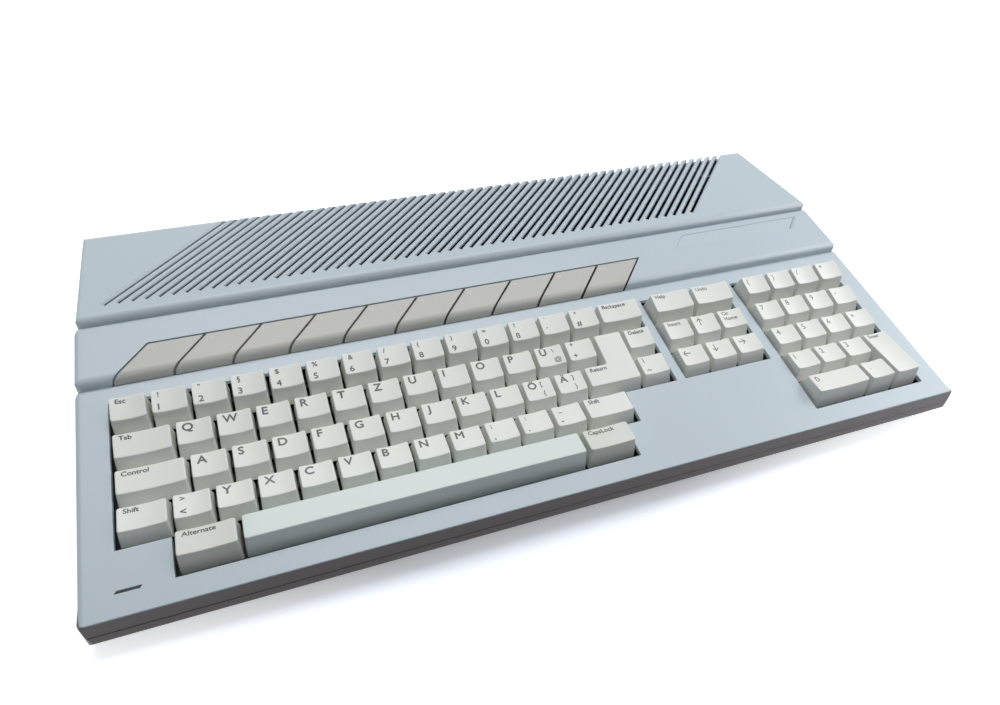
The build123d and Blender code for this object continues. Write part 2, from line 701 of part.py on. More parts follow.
# Middle, length and width of each chip
chips = [((-140, 20), 81, 23), ((-20, 12), 52, 15)]
chips += [((x, 55), 36, 15) for x in (-170, -125, -80, -35)]
chips += [((x, y), 20, 8) for x in (60, 100, 140) for y in (24, 52)]
with BuildPart() as board_chips:
    for (x, y), length, width in chips:
        with Locations((x, y, board_top)):
            Box(length, width, 4, align=(Align.CENTER, Align.CENTER, Align.MIN))
finish(board_chips, "board_chips")

shield_size, shield_middle = (200.0, 74.0, 6.8), (-92.0, 33.0)
sheet = 0.6
with BuildPart() as shield_cover:
    with Locations((*shield_middle, board_top)):
        Box(*shield_size, align=(Align.CENTER, Align.CENTER, Align.MIN))
        Box(
            shield_size[0] - 2 * sheet, shield_size[1] - 2 * sheet, shield_size[2] - sheet,
            align=(Align.CENTER, Align.CENTER, Align.MIN), mode=Mode.SUBTRACT,
        )
finish(shield_cover, "shield_cover")

ribbon_x, ribbon_width = 28.0, 30.0
ribbon_start = on_deck(keyboard_rear - 6, board_face - board_thickness)
with BuildPart() as keyboard_ribbon:
    with BuildSketch(Plane.YZ.offset(ribbon_x)):
        y, z = ribbon_start
        Polygon((y, z), (y - 3, z - 0.6), (y + 5, board_top), (y + 8.5, board_top), align=None)
    extrude(amount=ribbon_width / 2, both=True)
finish(keyboard_ribbon, "keyboard_ribbon")

# ---------------------------------------------------------------- sockets
wall_inside = y_back - wall
socket_face = y_back - 0.4

din_front, din_side, din_block_height = 98.0, 18.0, 19.6
with BuildPart() as din_sockets:
    for x in (power_x, *midi_x, monitor_x, floppy_x):
        with Locations((x, wall_inside, board_top)):
            Box(
                din_side, wall_inside - din_front, din_block_height,
                align=(Align.CENTER, Align.MAX, Align.MIN),
            )
finish(din_sockets, "din_sockets")


flange, flange_over, flange_height = 0.8, 14.0, 12.6
block_over, block_rise, block_depth = 2.0, 6.0, 11.0
shell_reach, shell_wall, pin_space = wall - 0.4, 0.5, 6.0
shell_lean = 10.0         # degrees, of the D shape's ends


def dsub_outline(length):
    """Corners of a multi-way connector's D shape, longer along its upper side."""
    half, rise = length / 2, dsub_shell_height / 2
    lean = 2 * rise * sin(radians(shell_lean))
    return [(-half, rise), (half, rise), (half - lean, -rise), (-half + lean, -rise)]


def dsub_port(face, length, is_male):
    """Port with flange, block and metal shell. The plane's normal points into the case."""
    with BuildPart() as port:
        with BuildSketch(face):
            Rectangle(length + flange_over, flange_height)
        extrude(amount=flange)
        block_height = dsub_height + block_rise - board_top
        with BuildSketch(face.offset(flange)):
            with Locations((0, block_rise - block_height / 2)):
                Rectangle(length + block_over, block_height)
        extrude(amount=block_depth)
        with BuildSketch(face):
            Polygon(*dsub_outline(length), align=None)
        extrude(amount=-shell_reach)
        if is_male:
            with BuildSketch(face.offset(-shell_reach)):
                Polygon(*dsub_outline(length), align=None)
                offset(amount=-shell_wall, kind=Kind.INTERSECTION, mode=Mode.REPLACE)
            extrude(amount=pin_space, mode=Mode.SUBTRACT)
    return port.part


for node, x, is_male in (
    ("printer_port", printer_x, False), ("modem_port", modem_x, True), ("hard_disk_port", disk_x, False),
):
    with BuildPart() as rear_port:
        inside = Plane(origin=(x, wall_inside, dsub_height), x_dir=(1, 0, 0), z_dir=(0, -1, 0))
        add(dsub_port(inside, dsub_shells[x], is_male))
    finish(rear_port, node)

with BuildPart() as controller_ports:
    for y in controller_y:
        inside = Plane(origin=(half_rear - wall, y, dsub_height), x_dir=(0, 1, 0), z_dir=(-1, 0, 0))
        add(dsub_port(inside, controller_shell, True))
finish(controller_ports, "controller_ports")

tube_wall, tube_depth = 2.0, 30.0
tube_height = 2 * (cartridge_z - board_top)
contact_reach, contact_length, contact_height = 13.0, 56.0, 9.0
card_slot_length, card_slot_height = 50.0, 2.0
with BuildPart() as cartridge_socket:
    with BuildSketch(Plane.YZ.offset(-half_rear + wall)):
        with Locations((cartridge_y, cartridge_z)):
            Rectangle(cartridge_width + 2 * tube_wall, tube_height)
    extrude(amount=tube_depth)
    with BuildSketch(Plane.YZ.offset(-half_rear + wall)):
        with Locations((cartridge_y, cartridge_z)):
            Rectangle(cartridge_width, cartridge_height)
    extrude(amount=tube_depth - tube_wall, mode=Mode.SUBTRACT)
    with Locations((-half_rear + wall + tube_depth, cartridge_y, cartridge_z)):
        Box(contact_reach, contact_length, contact_height, align=(Align.MAX, Align.CENTER, Align.CENTER))
        Box(
            contact_reach + overshoot, card_slot_length, card_slot_height,
            align=(Align.MAX, Align.CENTER, Align.CENTER), mode=Mode.SUBTRACT,
        )
finish(cartridge_socket, "cartridge_socket")

# ---------------------------------------------------------------- power switch and reset
housing_depth, housing_wall, axle_radius = 17.0, 1.0, 1.2
rocker_angle = 8.0        # from the middle to either end
rocker_gap = 0.9          # both sides together
rocker_hub, rocker_bore, rocker_hub_half = 3.4, 1.5, 3.0
rocker_end, rocker_dip = 6.1, 5.2   # the face's ends and its hollow middle, from the axle
with BuildPart() as power_switch_housing:
    with Locations((switch_x, socket_face, switch_z)):
        Box(housing_width, housing_depth, housing_height, align=(Align.CENTER, Align.MAX, Align.CENTER))
        Box(
            rocker_width + rocker_gap, housing_depth - housing_wall, housing_height - 2 * housing_wall,
            align=(Align.CENTER, Align.MAX, Align.CENTER), mode=Mode.SUBTRACT,
        )
    with Locations((switch_x, pivot_y, switch_z)):
        Cylinder(axle_radius, housing_width, rotation=(0, 90, 0))
finish(power_switch_housing, "power_switch_housing")

with BuildPart() as power_rocker:
    with BuildSketch(Plane.YZ.offset(switch_x)):
        with Locations(Location((pivot_y, switch_z), -rocker_angle)):
            Circle(rocker_hub)
            half_rocker = rocker_height / 2
            Polygon(
                (0, -rocker_hub_half), (rocker_end, -half_rocker), (rocker_dip, 0),
                (rocker_end, half_rocker), (0, rocker_hub_half), align=None,
            )
            Circle(rocker_bore, mode=Mode.SUBTRACT)
    extrude(amount=rocker_width / 2, both=True)
finish(power_rocker, "power_rocker")

reset_rear = 100.0
reset_block = (7.0, 8.0, 13.0)
with BuildPart() as reset_button:
    with BuildSketch(Plane.XZ.offset(-reset_rear)):
        with Locations((reset_x, reset_z)):
            Rectangle(reset_side, reset_side)
    extrude(amount=reset_rear - socket_face)
finish(reset_button, "reset_button")

with BuildPart() as reset_switch:
    with Locations((reset_x, reset_rear - 2, board_top)):
        Box(*reset_block, align=(Align.CENTER, Align.MAX, Align.MIN))
finish(reset_switch, "reset_switch")
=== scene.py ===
# %% [markdown]
# # A wedge-shaped home computer with its keyboard built in
# The machine is one low plastic case. Its front half slopes and carries the keys, a raised band
# behind them holds ten slanted function keys, and the rear part is covered by diagonal louvres.
# The solid parts come from the frame, already in their places and in metres. This lesson gives them
# their plastic, softens their edges, and adds what is too fine for the solids: smooth keycaps, the
# printed legends, the contacts in the sockets, the case screws, the lights and the camera.

# %% Load the frame
import json
import math

import bpy
from mathutils import Matrix, Vector


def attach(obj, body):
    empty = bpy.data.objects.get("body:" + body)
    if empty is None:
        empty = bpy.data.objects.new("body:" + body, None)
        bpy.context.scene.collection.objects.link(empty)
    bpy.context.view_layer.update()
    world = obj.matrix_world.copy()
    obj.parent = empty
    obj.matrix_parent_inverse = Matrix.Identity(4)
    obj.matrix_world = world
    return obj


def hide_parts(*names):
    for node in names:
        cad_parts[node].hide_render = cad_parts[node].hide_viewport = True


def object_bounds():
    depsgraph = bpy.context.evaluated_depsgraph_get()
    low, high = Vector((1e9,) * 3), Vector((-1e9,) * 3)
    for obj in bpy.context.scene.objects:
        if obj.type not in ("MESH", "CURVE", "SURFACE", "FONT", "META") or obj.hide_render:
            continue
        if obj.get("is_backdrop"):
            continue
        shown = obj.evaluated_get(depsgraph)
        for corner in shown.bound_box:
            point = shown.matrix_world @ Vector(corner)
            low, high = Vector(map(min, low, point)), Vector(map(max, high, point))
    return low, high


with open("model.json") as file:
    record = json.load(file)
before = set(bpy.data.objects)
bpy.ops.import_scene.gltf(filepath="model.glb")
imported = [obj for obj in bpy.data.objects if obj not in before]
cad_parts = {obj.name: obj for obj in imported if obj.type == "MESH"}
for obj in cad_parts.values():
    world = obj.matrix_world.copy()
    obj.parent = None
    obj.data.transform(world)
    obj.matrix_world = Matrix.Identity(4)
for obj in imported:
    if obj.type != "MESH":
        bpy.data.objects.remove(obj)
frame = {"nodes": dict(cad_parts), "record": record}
nodes = frame["nodes"]
case_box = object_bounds()
scene = bpy.context.scene
MM = 0.001
print("pieces in the frame:", len(nodes))

# %% [markdown]
# ## Two sloping surfaces
# The keys stand square to the sloping deck, so it helps to have the deck's own axes: x to the
# right, y up the slope, z out of the deck, with the origin at the back left corner of the first
# key row. Tilted empties with the keys as their children would do, but they are more objects to look
# after. A matrix turns a point of the deck, in millimetres, into a point of the scene. The band that
# holds the function keys slopes a little less and starts higher, so it gets a matrix too.

# %% The slopes' own axes
KEY_LEFT = -218.55
DECK_TILT, DECK_BACK, DECK_HEIGHT = 11.3, -11.367, 41.288
BAND_TILT, BAND_FRONT, BAND_HEIGHT = 10.3, -0.188, 48.567


def slope(degrees, y, z):
    """Axes of a sloping surface, from its tilt and the place of its origin in millimetres."""
    origin = Matrix.Translation(Vector((KEY_LEFT, y, z)) * MM)
    return origin @ Matrix.Rotation(math.radians(degrees), 4, "X") @ Matrix.Scale(MM, 4)


deck = slope(DECK_TILT, DECK_BACK, DECK_HEIGHT)
band = slope(BAND_TILT, BAND_FRONT, BAND_HEIGHT)
print("deck origin:", [round(c, 4) for c in deck.translation])
print("band origin:", [round(c, 4) for c in band.translation])

# %% [markdown]
# ## The camera
# It stands close in front of the left half and looks down over the keys to the rear right corner.
# The short lens exaggerates the depth, as it does when something is taken from near by. The camera
# could be aimed by a constraint, but plain angles are exact. Setting it first means that every later
# piece can be judged from the right place.

# %% Camera
LENS = 24.875
LENS_SHIFT = (0.0271, 0.0056)
STAND = (-0.13944, -0.28403, 0.29813)
AIM = (46.883, -2.853, -19.346)

camera_data = bpy.data.cameras.new("camera")
camera_data.lens = LENS
camera_data.shift_x, camera_data.shift_y = LENS_SHIFT
camera = bpy.data.objects.new("camera", camera_data)
camera.location = STAND
camera.rotation_euler = [math.radians(angle) for angle in AIM]
scene.collection.objects.link(camera)
scene.camera = camera
print("camera stands", STAND[2], "m high with a lens of", LENS, "mm")

# %% [markdown]
# ## Moulded plastic
# The case was moulded in a tool with a fine spark-eroded grain: matt, slightly rough, and never
# quite the same tone all over. An image of such a surface would do, but nodes keep it sharp at any
# distance. All of it starts from noise, read in the piece's own space, so that the pattern stays
# with the piece when that moves.

# %% Noise of a given size
def noise(tree, size, detail):
    """Noise through the whole solid, with lumps of about the given size in metres."""
    place = tree.nodes.new("ShaderNodeTexCoord")
    lumps = tree.nodes.new("ShaderNodeTexNoise")
    lumps.inputs["Scale"].default_value = 1.0 / size
    lumps.inputs["Detail"].default_value = detail
    tree.links.new(place.outputs["Object"], lumps.inputs["Vector"])
    return lumps.outputs["Fac"]


CLOUD_SIZE, SMEAR_SIZE = 0.06, 0.004
print("clouds of tone:", CLOUD_SIZE, "m, smears of gloss:", SMEAR_SIZE, "m")

# %% [markdown]
# Plastic flows into the tool unevenly and ages unevenly, so its tone drifts in large soft clouds. Its
# gloss changes over a few millimetres, where hands have been. Both could be painted on an unwrapped
# surface, but the changes are so slight that two noises do the same.

# %% Tone and gloss
GLOSS_SWING = 0.06


def vary_tone(tree, color, tone):
    """A colour that drifts between a little darker and a little lighter."""
    shade = tree.nodes.new("ShaderNodeMix")
    shade.data_type = "RGBA"
    shade.inputs["A"].default_value = [c * (1 - tone) for c in color] + [1]
    shade.inputs["B"].default_value = [min(1, c * (1 + tone)) for c in color] + [1]
    tree.links.new(noise(tree, CLOUD_SIZE, 3), shade.inputs["Factor"])
    return shade.outputs["Result"]


def vary_gloss(tree, roughness):
    """A roughness that swings a little round its middle value."""
    gloss = tree.nodes.new("ShaderNodeMapRange")
    gloss.inputs["To Min"].default_value = roughness - GLOSS_SWING
    gloss.inputs["To Max"].default_value = roughness + GLOSS_SWING
    tree.links.new(noise(tree, SMEAR_SIZE, 4), gloss.inputs["Value"])
    return gloss.outputs["Result"]


print("roughness swings by", GLOSS_SWING)

# %% [markdown]
# A very small noise raises the grain. Moulded edges are never sharp either. A bevel on the mesh
# would have to be clamped to nothing at the narrowest slot, so the rounding is left to the shader's
# Bevel node, which bends the normals near each edge and leaves the solid alone.

# %% Grain and rounded edges
GRAIN_DEPTH = 0.0002


def raise_grain(tree, grain, grain_size, edge):
    """The grain's bumps, on normals that are rounded near each edge by a radius in millimetres."""
    bump = tree.nodes.new("ShaderNodeBump")
    bump.inputs["Strength"].default_value = grain
    bump.inputs["Distance"].default_value = GRAIN_DEPTH
    tree.links.new(noise(tree, grain_size, 2), bump.inputs["Height"])
    if edge:
        rounding = tree.nodes.new("ShaderNodeBevel")
        rounding.inputs["Radius"].default_value = edge * MM
        tree.links.new(rounding.outputs["Normal"], bump.inputs["Normal"])
    return bump.outputs["Normal"]


print("grain at full strength:", GRAIN_DEPTH, "m deep")

# %% [markdown]
# One function puts tone, gloss and grain on a Principled shader, so that a plastic is one line from
# here on. Shine is the part of the light that the surface mirrors. Colours are easiest to judge on
# a screen, from 0 to 255, while a shader reckons in linear light, so a second function converts them.

# %% Functions for plastic and for its colour
def moulded_plastic(
    name, color, roughness=0.5, grain=0.05, grain_size=0.0007, tone=0.04, edge=0.0, shine=0.5
):
    """A grained plastic. The grain's size is in metres, the radius of its edges in millimetres."""
    material = bpy.data.materials.new(name)
    material.use_nodes = True
    tree = material.node_tree
    shader = tree.nodes["Principled BSDF"]
    shader.inputs["Specular IOR Level"].default_value = shine
    tree.links.new(vary_tone(tree, color, tone), shader.inputs["Base Color"])
    tree.links.new(vary_gloss(tree, roughness), shader.inputs["Roughness"])
    tree.links.new(raise_grain(tree, grain, grain_size, edge), shader.inputs["Normal"])
    return material


def from_screen(red, green, blue):
    """A colour read off a screen, 0 to 255, as the linear values that a shader wants."""
    return [((c / 255 + 0.055) / 1.055) ** 2.4 if c > 10 else c / 255 / 12.92 for c in (red, green, blue)]


print("half bright on a screen is", round(from_screen(128, 128, 128)[0], 3), "of white in a shader")

# %% [markdown]
# The upper shell is a cool light grey. The lower one is given a brownish dark grey, which is painted
# shade: the real lower shell is the same light grey, and the dark stands for the shadow on its front.
# Most keys are nearly white, the two beside the space bar are a shade darker, the space bar has a
# touch of green, and the function keys are a warm grey. The case and the function keys mirror less
# than the caps, because their grain is coarser.

# %% The plastics outside
finishes = {}
DULL = 0.36
KEY_GRAIN = {"roughness": 0.45, "grain": 0.04, "grain_size": 0.0005, "tone": 0.02}


def plastic(name, screen_color, **recipe):
    finishes[name] = moulded_plastic(name, from_screen(*screen_color), **recipe)


case_grain = {"roughness": 0.4, "grain": 0.1, "grain_size": 0.0008, "tone": 0.03}
tray_grain = {"roughness": 0.42, "grain": 0.08, "grain_size": 0.0008}
function_grain = {"roughness": 0.42, "grain": 0.06, "grain_size": 0.0006, "tone": 0.03}
plate_grain = {"roughness": 0.4, "grain": 0.05, "grain_size": 0.0012, "tone": 0.02}
plastic("case_light", (183, 195, 203), **case_grain, edge=0.6, shine=DULL)
# Painted shade: this brownish dark grey stands for the shadow on the lower shell's front, which is really
# as light as the upper one.
plastic("case_dark", (86, 76, 74), **tray_grain, edge=0.4)
plastic("key_white", (221, 222, 216), **KEY_GRAIN)
plastic("key_grey", (207, 209, 201), **KEY_GRAIN)
plastic("key_space", (208, 217, 214), **KEY_GRAIN)
plastic("function_grey", (184, 183, 178), **function_grain, edge=0.4, shine=DULL)
plastic("badge_metal", (185, 197, 204), **plate_grain, edge=0.15, shine=DULL)
print("plastics outside:", len(finishes))

# %% [markdown]
# Under the keys there is a black frame, and behind the walls there are sockets, boards and chips.
# Little of it is seen, between the caps and through the louvres, but a gap with nothing behind it
# would look wrong. The feet and the domes are rubber, which is rougher than plastic. The lens of the
# power light is in this list too, and it is dark, because the machine is off.

# %% The plastics inside and underneath
outside = len(finishes)
plastic("frame_black", (26, 26, 27), roughness=0.5, grain=0.05)
plastic("socket_black", (30, 30, 31), roughness=0.4, grain=0.04, edge=0.2)
plastic("chip_black", (34, 34, 36), roughness=0.45, grain=0.04)
plastic("ribbon_grey", (160, 160, 160), roughness=0.5, grain=0.02)
plastic("foot_rubber", (34, 34, 34), roughness=0.8, grain=0.1, grain_size=0.0012, edge=0.4)
plastic("dome_rubber", (70, 70, 72), roughness=0.7, grain=0.05)
plastic("board_green", (38, 92, 58), roughness=0.3, grain=0.03, grain_size=0.0015)
plastic("lens_green", (26, 34, 42), roughness=0.15, grain=0.01)
print("plastics inside and underneath:", len(finishes) - outside)

# %% [markdown]
# ## Plated steel
# The shells of the plugs, the screws and the shielding are plated steel. Bare metal needs little
# more than full metalness, but a slightly uneven gloss stops it from looking like chrome, so the
# steel starts as a plastic. The contacts are brass, which differs in colour alone.

# %% Plated steel
def plated_steel(name, screen_color, roughness):
    """A metal with the plastic's uneven gloss."""
    color = from_screen(*screen_color)
    material = moulded_plastic(name, color, roughness, grain=0.08, grain_size=0.0009, tone=0.03)
    material.node_tree.nodes["Principled BSDF"].inputs["Metallic"].default_value = 1.0
    return material


finishes["port_metal"] = plated_steel("port_metal", (176, 176, 174), 0.34)
finishes["screw_steel"] = plated_steel("screw_steel", (150, 150, 150), 0.4)
# Painted shade: the shielding is given a much darker grey than plated steel, for the shade inside the
# closed case.
finishes["shield_steel"] = plated_steel("shield_steel", (104, 106, 108), 0.55)
contact_brass = plated_steel("contact_brass", (198, 170, 104), 0.3)
print("finishes:", len(finishes), "and brass for the contacts")

# %% [markdown]
# Outside the walls a connector shows its steel shell. Inside, it is a black plastic housing, and if
# that were steel as well, it would gleam through the louvres. A second piece could hide it, but the
# solid is right as it is. So the finish looks at the place of each point: beyond the rear wall
# or the side wall it is steel, and before them it is black and not a metal.

# %% Black behind the walls
STEEL_FROM_REAR, STEEL_FROM_SIDE = 112.5, 227.0
HOUSING_BLACK = (0.01, 0.01, 0.01, 1)


def black_inside(material):
    """Keep a metal for what lies beyond the rear wall or the side wall."""
    tree = material.node_tree
    shader = tree.nodes["Principled BSDF"]
    place = tree.nodes.new("ShaderNodeTexCoord")
    axes = tree.nodes.new("ShaderNodeSeparateXYZ")
    tree.links.new(place.outputs["Object"], axes.inputs["Vector"])
    beyond = tree.nodes.new("ShaderNodeMath")
    beyond.operation = "MAXIMUM"
    for i, (axis, start) in enumerate((("Y", STEEL_FROM_REAR), ("X", STEEL_FROM_SIDE))):
        past = tree.nodes.new("ShaderNodeMath")
        past.operation = "GREATER_THAN"
        past.inputs[1].default_value = start * MM
        tree.links.new(axes.outputs[axis], past.inputs[0])
        tree.links.new(past.outputs["Value"], beyond.inputs[i])
    choose = tree.nodes.new("ShaderNodeMix")
    choose.data_type = "RGBA"
    choose.inputs["A"].default_value = HOUSING_BLACK
    tree.links.new(beyond.outputs["Value"], choose.inputs["Factor"])
    tree.links.new(shader.inputs["Base Color"].links[0].from_socket, choose.inputs["B"])
    tree.links.new(choose.outputs["Result"], shader.inputs["Base Color"])
    tree.links.new(beyond.outputs["Value"], shader.inputs["Metallic"])


black_inside(finishes["port_metal"])
print("connectors are steel from y", STEEL_FROM_REAR, "mm or x", STEEL_FROM_SIDE, "mm on")

# %% [markdown]
# The record of the machine says which finish each solid has, under the same names as above. Picking
# them one by one would be the other way, and a mistake in it would be easy to miss.

# %% A finish for every solid
slot_of = {part["node"]: part["material_slot"] for part in frame["record"]["subparts"]}
for node, piece in nodes.items():
    piece.data.materials.clear()
    piece.data.materials.append(finishes[slot_of[node]])
print("finishes given to", len(slot_of), "pieces")

# %% [markdown]
# ## Smooth curves on the solids
# The solids come as flat facets. Where two facets meet at a shallow angle they stand for a curve,
# so they are shaded as one, and where the angle is steep the edge is real and stays. The flags could
# be set on the mesh itself, but a small node group in a modifier leaves the mesh as it is.

# %% A node group that shades by angle
def smoothing(angle):
    """Node group that shades smooth across every edge that turns by less than the angle."""
    group = bpy.data.node_groups.new(f"smooth_to_{angle}", "GeometryNodeTree")
    group.interface.new_socket("Geometry", in_out="INPUT", socket_type="NodeSocketGeometry")
    group.interface.new_socket("Geometry", in_out="OUTPUT", socket_type="NodeSocketGeometry")
    source = group.nodes.new("NodeGroupInput")
    result = group.nodes.new("NodeGroupOutput")
    turn = group.nodes.new("GeometryNodeInputMeshEdgeAngle")
    shallow = group.nodes.new("FunctionNodeCompare")
    shallow.operation = "LESS_EQUAL"
    shallow.inputs["B"].default_value = math.radians(angle)
    faces = group.nodes.new("GeometryNodeSetShadeSmooth")
    faces.domain = "FACE"
    edges = group.nodes.new("GeometryNodeSetShadeSmooth")
    edges.domain = "EDGE"
    group.links.new(turn.outputs["Unsigned Angle"], shallow.inputs["A"])
    group.links.new(shallow.outputs["Result"], edges.inputs["Shade Smooth"])
    group.links.new(source.outputs["Geometry"], faces.inputs["Geometry"])
    group.links.new(faces.outputs["Geometry"], edges.inputs["Geometry"])
    group.links.new(edges.outputs["Geometry"], result.inputs["Geometry"])
    return group


CURVE_ANGLE, RIB_ANGLE = 40, 56
groups = {angle: smoothing(angle) for angle in (CURVE_ANGLE, RIB_ANGLE)}
print("smoothing groups:", [group.name for group in groups.values()])

# %% [markdown]
# The ribs of the louvres are turned by up to 50 degrees from facet to facet, and they are round on
# the real case, so the upper shell gets the wider limit. Smooth shading alone would make broad faces
# look dented near their edges. Weighting the normals by the area of the faces keeps them flat.

# %% Shade the solids
def shade_by_angle(piece, angle):
    piece.modifiers.new("smooth", "NODES").node_group = groups[angle]
    weighted = piece.modifiers.new("normals", "WEIGHTED_NORMAL")
    weighted.keep_sharp = True
    weighted.weight = 100


for node, piece in nodes.items():
    shade_by_angle(piece, RIB_ANGLE if node == "upper_case" else CURVE_ANGLE)
print("shaded by angle:", len(nodes))

# %% [markdown]
# ## Where the keys are
# The keys stand on a grid of equal units, and most are one unit wide. So a key is written down as its
# body, its left side, its row, its width and its rows, in units, and then its legend. The lines of a
# legend stand below each other, and what follows a tab is printed small at the right. The wide keys
# and the few square ones that stand apart are listed one by one.

# %% Keys listed one by one
UNIT = 18.7
CURSOR_START, NUMPAD_START = 15.91, 19.38
keys = [
    ("escape_key", 0, 0, 1, 1, "Esc"),
    ("backspace_key", 14, 0, 1.5, 1, "Backspace"),
    ("tab_key", 0, 1, 1.5, 1, "Tab"),
    ("delete_key", 14.5, 1, 1, 1, "Delete"),
    ("control_key", 0, 2, 1.75, 1, "Control"),
    ("left_shift_key", 0, 3, 1.25, 1, "Shift"),
    ("right_shift_key", 12.25, 3, 1.5, 1, "Shift"),
    ("alternate_key", 1.25, 4, 1.5, 1, "Alternate"),
    ("space_bar", 2.75, 4, 9, 1, ""),
    ("caps_lock_key", 11.75, 4, 1.5, 1, "CapsLock"),
    ("help_key", CURSOR_START, 0, 1.5, 1, "Help"),
    ("undo_key", CURSOR_START + 1.5, 0, 1.5, 1, "Undo"),
    ("numpad_zero_key", NUMPAD_START, 4, 2, 1, "0"),
    ("numpad_enter_key", NUMPAD_START + 3, 3, 1, 2, "Enter"),
    ("home_letter_keys", 14.5, 2, 1, 1, "|\n~"),
    ("numpad_keys", NUMPAD_START + 2, 4, 1, 1, "."),
]
listed = len(keys)
print("keys listed one by one:", listed)

# %% [markdown]
# The other square keys stand side by side, so a row is its body, its start and its legends. The
# layout is the German one, with Z in the upper letter row and the accented vowels at the right.

# %% The rows of square keys
def row_of_keys(body, row, start, legends):
    for i, legend in enumerate(legends):
        keys.append((body, start + i, row, 1, 1, legend))


symbols = zip('!"§$%&/()=?`^', "1234567890ß´#")
row_of_keys("number_row_keys", 0, 1, [f"{upper}\n{lower}" for upper, lower in symbols])
row_of_keys("top_letter_keys", 1, 1.5, [*"QWERTZUIOP", "Ü\t\\\n@", "*\n+"])
row_of_keys("home_letter_keys", 2, 1.75, [*"ASDFGHJKL", "Ö\t[\n{", "Ä\t]\n}"])
row_of_keys("bottom_letter_keys", 3, 1.25, [">\n<", *"YXCVBNM", ";\n,", ":\n.", "_\n-"])
row_of_keys("cursor_keys", 1, CURSOR_START, ["Insert", "up", "Clr\nHome"])
row_of_keys("cursor_keys", 2, CURSOR_START, ["left", "down", "right"])
for row, legends in enumerate(["()/*", "789-", "456+", "123"]):
    row_of_keys("numpad_keys", row, NUMPAD_START, legends)
print("keys in rows:", len(keys) - listed, "and all keys with the return key:", len(keys) + 1)

# %% [markdown]
# ## The shape of a keycap
# Each cap is a hollow block that tapers upwards. The rows differ in height and in slope, so that
# all of them suit the fingers, and every top dips across like the inside of a pipe. The space bar
# bulges instead. A mesh could be shaped by hand for each row, but a formula for the height of the
# top gives every cap from five pairs of numbers: the height of each row at the back and at the front.

# %% The height of a key's top
ROW_TOPS = [(8.8, 6.8), (5.3, 3.8), (4.0, 3.4), (3.8, 4.5), (6.4, 8.0)]
SIDE_INSET, BACK_INSET, FRONT_INSET = 1.35, 1.9, 4.9
DISH, BAR_CROWN = 0.9, 0.35


def top_surface(width, row, rows, dish=DISH):
    """Height of a cap's top as a function of x and y in its cell, in millimetres."""
    back, front = ROW_TOPS[row][0], ROW_TOPS[row + rows - 1][1]
    back_y, front_y = -BACK_INSET, -rows * UNIT + FRONT_INSET
    half = width * UNIT / 2 - SIDE_INSET

    def height(x, y):
        along = (y - back_y) / (front_y - back_y)
        across = (x - width * UNIT / 2) / half
        return back + (front - back) * along - dish * max(0, 1 - across * across)

    return height


first_top = top_surface(1, 0, 1)
print("middle of the first key's top:", round(first_top(UNIT / 2, -UNIT / 2), 2), "mm above the deck")

# %% [markdown]
# Seen from above, a cap is its cell, drawn in at the sides. Most cells are rectangles, but the return
# key is a step. Scaling a rectangle would do for most, and not for the step. So each corner is moved
# in by the insets of the two sides that meet there, and an inset is looked up by the direction that
# its side runs in.

# %% Corners of a drawn-in cell
def insets(side, back, front):
    """How far a line lies inside each side of a cell, by the direction that the side runs in."""
    return {(1, 0): front, (0, 1): side, (-1, 0): back, (0, -1): side}


def drawn_in(corners, inset):
    """Corners moved inwards from a cell's own, which go anticlockwise, and the sides' directions."""
    count = len(corners)
    runs = [(Vector(corners[(i + 1) % count]) - Vector(corners[i])).normalized() for i in range(count)]
    spots = []
    for i, corner in enumerate(corners):
        spot = Vector(corner)
        for run in (runs[i - 1], runs[i]):
            spot += Vector((-run.y, run.x)) * inset[round(run.x), round(run.y)]
        spots.append(spot)
    return spots, runs


unit_cell = [(0, -UNIT), (UNIT, -UNIT), (UNIT, 0), (0, 0)]
top_corners = drawn_in(unit_cell, insets(SIDE_INSET, BACK_INSET, FRONT_INSET))[0]
print("top of a square key:", [[round(c, 2) for c in corner] for corner in top_corners])

# %% [markdown]
# The corners of a cap are quarter circles, also at the inner corner of the step, where the circle
# bends the other way. The sides that run to the right are cut into steps, so that they can follow
# the dip of the top.

# %% Lines round a key
CORNER_POINTS, TOP_STEPS = 5, 8


def ring(corners, inset, radius, steps):
    """A closed line round a cell, with an inset for each direction and with rounded corners."""
    spots, runs = drawn_in(corners, inset)
    points = []
    for i, spot in enumerate(spots):
        before, after = runs[i - 1], runs[i]
        centre = spot + (after - before) * radius
        for k in range(CORNER_POINTS):
            turn = math.radians(90 * k / (CORNER_POINTS - 1))
            points.append(centre - after * radius * math.cos(turn) + before * radius * math.sin(turn))
        start, end = spot + after * radius, spots[(i + 1) % len(spots)] - after * radius
        parts = steps if abs(after.x) > 0.5 else 2
        points += [start.lerp(end, k / parts) for k in range(1, parts)]
    return points


cell_line = ring(unit_cell, insets(0, 0, 0), 1.0, TOP_STEPS)
print("points in a line round a square key:", len(cell_line))

# %% [markdown]
# A cap is a stack of such lines. A subdivision surface would round its edges with less to write, but
# it would pull the cap away from its solid. Stacked lines give clean faces and full control of each
# radius. Each of them lies at some share of the way from the foot of the cap to its top, and is mixed
# from the two.

# %% A line between foot and top
CAP_GAP = 0.65
BASE_CORNER, TOP_CORNER, LEAST_CORNER = 0.8, 1.15, 0.4


def line_at(corners, share, steps, extra=0.0):
    """The line at a share of the way from foot to top, drawn in by an extra width."""
    foot, top = insets(CAP_GAP, CAP_GAP, CAP_GAP), insets(SIDE_INSET, BACK_INSET, FRONT_INSET)
    mixed = {run: foot[run] * (1 - share) + top[run] * share + extra for run in foot}
    corner = BASE_CORNER + (TOP_CORNER - BASE_CORNER) * share
    return ring(corners, mixed, corner - min(extra, corner - LEAST_CORNER), steps)


foot_line = line_at(unit_cell, 0, TOP_STEPS)
print("foot of a square key starts at:", [round(c, 2) for c in foot_line[0]])

